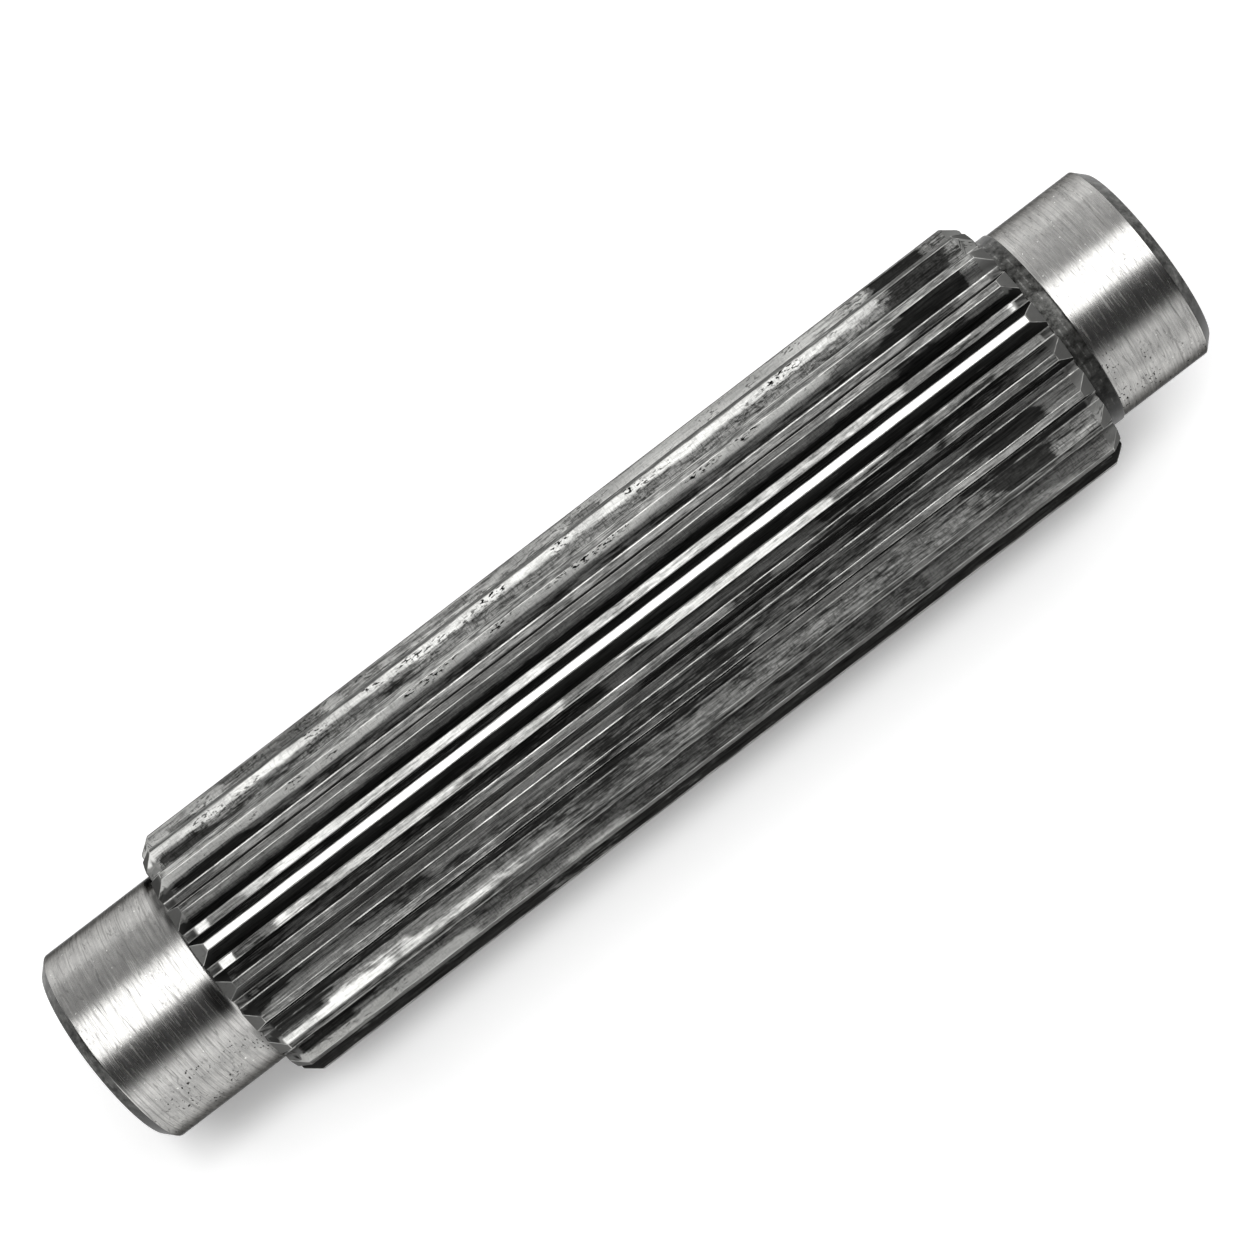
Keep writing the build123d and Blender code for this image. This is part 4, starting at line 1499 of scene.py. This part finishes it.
# %% [markdown]
# ## Floor and light
#
# Polished metal shows what surrounds it, so the light is designed by what the shaft should mirror. One
# long soft box hangs above, on the side of the upper left, and gives the bright band along the journals.
# It is tilted to face the shaft, and its cloth dims towards one border, so the band has a soft edge there.
# Straight overhead the room is dark, which gives the dark band beside it. Pale walls fill in low down on
# both sides, and the wall across from the lamp is the brighter one. No real room is even, so this one is
# twisted a little against the shaft, and one of its corners is brighter than the next.
#
# The floor is white paper. It also glows faintly wherever the camera or a reflection sees it, which keeps
# it white without lighting the shaft from below. The glow is weaker in a strip along the shaft, which
# lies a little to the side away from the lamp, so that the soft shadow stays.

# %% Paper floor
FLOOR_Z = node_low.z
FLOOR_RADIUS = 3.0
FLOOR_CORNERS = 96

floor_mesh = bpy.data.meshes.new("paper_floor")
rim_angles = np.linspace(0, 2 * pi, FLOOR_CORNERS + 1)[:-1]
rim = [(FLOOR_RADIUS * cos(a), FLOOR_RADIUS * sin(a), 0.0) for a in rim_angles]
floor_mesh.from_pydata(rim, [], [list(range(len(rim)))])
floor = bpy.data.objects.new("paper_floor", floor_mesh)
floor.location.z = FLOOR_Z
bpy.context.scene.collection.objects.link(floor)
print(f"the floor lies at {FLOOR_Z * 1000:.2f} mm, right under the teeth")

# %% How much the paper glows
NEAR_LIFT = 0.10               # right beside the shaft
END_LIFT = 0.34                # beside the right end, where the shadow is weakest
FAR_LIFT = 0.42
SHADOW_REACH_MM = 20.2         # half the width of the strip with the least light, under the teeth
JOURNAL_REACH_MM = 17.4        # and under the narrower journals
SHADOW_SHIFT_MM = 6.0          # the strip lies this far towards the side away from the lamp
FADE_MM = 8.5
CORNER_MM = 12.0               # how softly the strip turns at its four corners
NARROWER_MM = (84, 98)         # from the middle, where the strip grows narrower
BRIGHTER_MM = (92, 106)        # and where it grows brighter, towards the right end only

paper = bpy.data.materials.new("white_paper")
paper.use_nodes = True
nodes = paper.node_tree
nodes.nodes.clear()
where = add_node(nodes, "ShaderNodeTexCoord").outputs["Object"]
parts = add_node(nodes, "ShaderNodeSeparateXYZ", {0: where})
reach_x = add_node(nodes, "ShaderNodeMath", {0: parts.outputs["X"]}, operation="ABSOLUTE")
shifted = add_node(nodes, "ShaderNodeMath", {0: parts.outputs["Y"], 1: SHADOW_SHIFT_MM * MM})
reach_y = add_node(nodes, "ShaderNodeMath", {0: shifted}, operation="ABSOLUTE")
strip = add_node(
    nodes, "ShaderNodeMapRange",
    {
        "Value": reach_x, "From Min": NARROWER_MM[0] * MM, "From Max": NARROWER_MM[1] * MM,
        "To Min": SHADOW_REACH_MM * MM, "To Max": JOURNAL_REACH_MM * MM,
    },
)
past_x = add_node(nodes, "ShaderNodeMath", {0: reach_x, 1: RIGHT_END * MM}, operation="SUBTRACT")
past_y = add_node(nodes, "ShaderNodeMath", {0: reach_y, 1: strip}, operation="SUBTRACT")
past = add_node(
    nodes, "ShaderNodeMath", {0: past_x, 1: past_y, 2: CORNER_MM * MM}, operation="SMOOTH_MAX"
)
near_lift = add_node(
    nodes, "ShaderNodeMapRange",
    {
        "Value": parts.outputs["X"], "From Min": BRIGHTER_MM[0] * MM, "From Max": BRIGHTER_MM[1] * MM,
        "To Min": NEAR_LIFT, "To Max": END_LIFT,
    },
)
lift_here = add_node(
    nodes, "ShaderNodeMapRange",
    {"Value": past, "From Min": 0.0, "From Max": FADE_MM * MM, "To Min": near_lift, "To Max": FAR_LIFT},
    interpolation_type="SMOOTHSTEP",
)
print(f"the glow runs from {NEAR_LIFT} beside the shaft to {FAR_LIFT} further out")

# %% The paper's own finish
lit = add_node(nodes, "ShaderNodeBsdfDiffuse", {"Color": colour("fafafa")})
ray = add_node(nodes, "ShaderNodeLightPath").outputs
seen = add_node(
    nodes, "ShaderNodeMath", {0: ray["Is Camera Ray"], 1: ray["Is Glossy Ray"]}, operation="MAXIMUM"
)
seen = add_node(nodes, "ShaderNodeMath", {0: seen, 1: ray["Is Transmission Ray"]}, operation="MAXIMUM")
lift = add_node(nodes, "ShaderNodeMath", {0: seen, 1: lift_here}, operation="MULTIPLY")
glow = add_node(nodes, "ShaderNodeEmission", {"Color": (1, 1, 1, 1), "Strength": lift})
both = add_node(nodes, "ShaderNodeAddShader", {0: lit, 1: glow})
add_node(nodes, "ShaderNodeOutputMaterial", {"Surface": both})
floor_mesh.materials.append(paper)
print(f"{paper.name} has {len(nodes.nodes)} nodes")

# %% Room round the shaft
# degrees from straight up, rolled about the shaft towards the side away from the lamp; brightness
ROOM_LEVELS = [
    (-180, 0.60), (-92, 0.80), (-80, 0.76), (-62, 0.56), (-50, 0.46), (-40, 0.05),
    (43, 0.04), (50, 0.44), (56, 1.10), (65, 1.20), (78, 0.95), (92, 0.85), (180, 0.75),
]
ROOM_TWIST = 0.31              # the walls aren't quite parallel to the shaft
BRIGHT_CORNER = 1.0            # one corner of the room is brighter than the next
SIDE_DIMMING = 0.15            # how much darker the room is towards the two ends of the shaft
SIDE_RANGE = (0.35, 0.85)      # how far along the shaft a direction points where that begins and is full

world = bpy.data.worlds.new("studio_room")
world.use_nodes = True
nodes = world.node_tree
direction = add_node(nodes, "ShaderNodeTexCoord").outputs["Generated"]
parts = add_node(nodes, "ShaderNodeSeparateXYZ", {0: direction})
away = add_node(nodes, "ShaderNodeMath", {0: parts.outputs["Y"], 1: -1.0}, operation="MULTIPLY")
roll = add_node(nodes, "ShaderNodeMath", {0: away, 1: parts.outputs["Z"]}, operation="ARCTAN2")
roll = add_node(
    nodes, "ShaderNodeMath", {0: parts.outputs["X"], 1: -ROOM_TWIST, 2: roll}, operation="MULTIPLY_ADD"
)
spread = add_node(nodes, "ShaderNodeMapRange", {"Value": roll, "From Min": -pi, "From Max": pi})
ramp = add_node(nodes, "ShaderNodeValToRGB", {0: spread})
stops = ramp.color_ramp.elements
while len(stops) < len(ROOM_LEVELS):
    stops.new(0.5)
for stop, (degrees, brightness) in zip(stops, ROOM_LEVELS):
    stop.position = (degrees + 180) / 360
    stop.color = (brightness, brightness, brightness, 1.0)
sideways = add_node(nodes, "ShaderNodeMath", {0: parts.outputs["X"]}, operation="ABSOLUTE")
dimming = add_node(
    nodes, "ShaderNodeMapRange",
    {
        "Value": sideways, "From Min": SIDE_RANGE[0], "From Max": SIDE_RANGE[1],
        "To Min": 1.0, "To Max": 1.0 - SIDE_DIMMING,
    },
)
corner = add_node(nodes, "ShaderNodeMath", {0: parts.outputs["X"], 1: away}, operation="MULTIPLY")
uneven = add_node(nodes, "ShaderNodeMath", {0: corner, 1: -BRIGHT_CORNER, 2: 1.0}, operation="MULTIPLY_ADD")
strength = add_node(nodes, "ShaderNodeMath", {0: dimming, 1: uneven}, operation="MULTIPLY")
background = nodes.nodes["Background"]
nodes.links.new(ramp.outputs[0], background.inputs["Color"])
nodes.links.new(strength.outputs[0], background.inputs["Strength"])
bpy.context.scene.world = world
print(f"{world.name} has {len(stops)} levels of brightness round the shaft")

# %% Soft box
BOX_CENTRE = (0.22, 0.345, 1.007)
BOX_TILT = (radians(-21.75), radians(-14.0), 0.0)   # turned to face the shaft, with one end raised
BOX_LENGTH = 1.3
BOX_WIDTH = 0.87
BOX_RADIANCE = 3.1
BOX_BORDER = (0.76, 0.2)       # from this share of the cloth's width, the light falls to this at its edge

lamp = bpy.data.lights.new("soft_box", "AREA")
lamp.shape = "RECTANGLE"
lamp.size = BOX_LENGTH
lamp.size_y = BOX_WIDTH
lamp.energy = BOX_RADIANCE * pi * BOX_LENGTH * BOX_WIDTH
lamp.use_nodes = True
nodes = lamp.node_tree
cloth = add_node(nodes, "ShaderNodeNewGeometry").outputs["Parametric"]
cloth_parts = add_node(nodes, "ShaderNodeSeparateXYZ", {0: cloth})
cloth_level = add_node(
    nodes, "ShaderNodeMapRange",
    {"Value": cloth_parts.outputs["Y"], "From Min": BOX_BORDER[0], "To Min": 1.0, "To Max": BOX_BORDER[1]},
)
nodes.links.new(cloth_level.outputs[0], nodes.nodes["Emission"].inputs["Strength"])
soft_box = bpy.data.objects.new("soft_box", lamp)
soft_box.location = BOX_CENTRE
soft_box.rotation_euler = BOX_TILT
soft_box.visible_camera = False
bpy.context.scene.collection.objects.link(soft_box)
print(f"soft box {BOX_LENGTH:.2f} by {BOX_WIDTH:.2f} m, {lamp.energy:.1f} W")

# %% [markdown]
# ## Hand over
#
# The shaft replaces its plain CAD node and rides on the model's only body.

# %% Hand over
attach(shaft, "root")
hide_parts(NODE)
bpy.context.scene.view_settings.view_transform = "Standard"
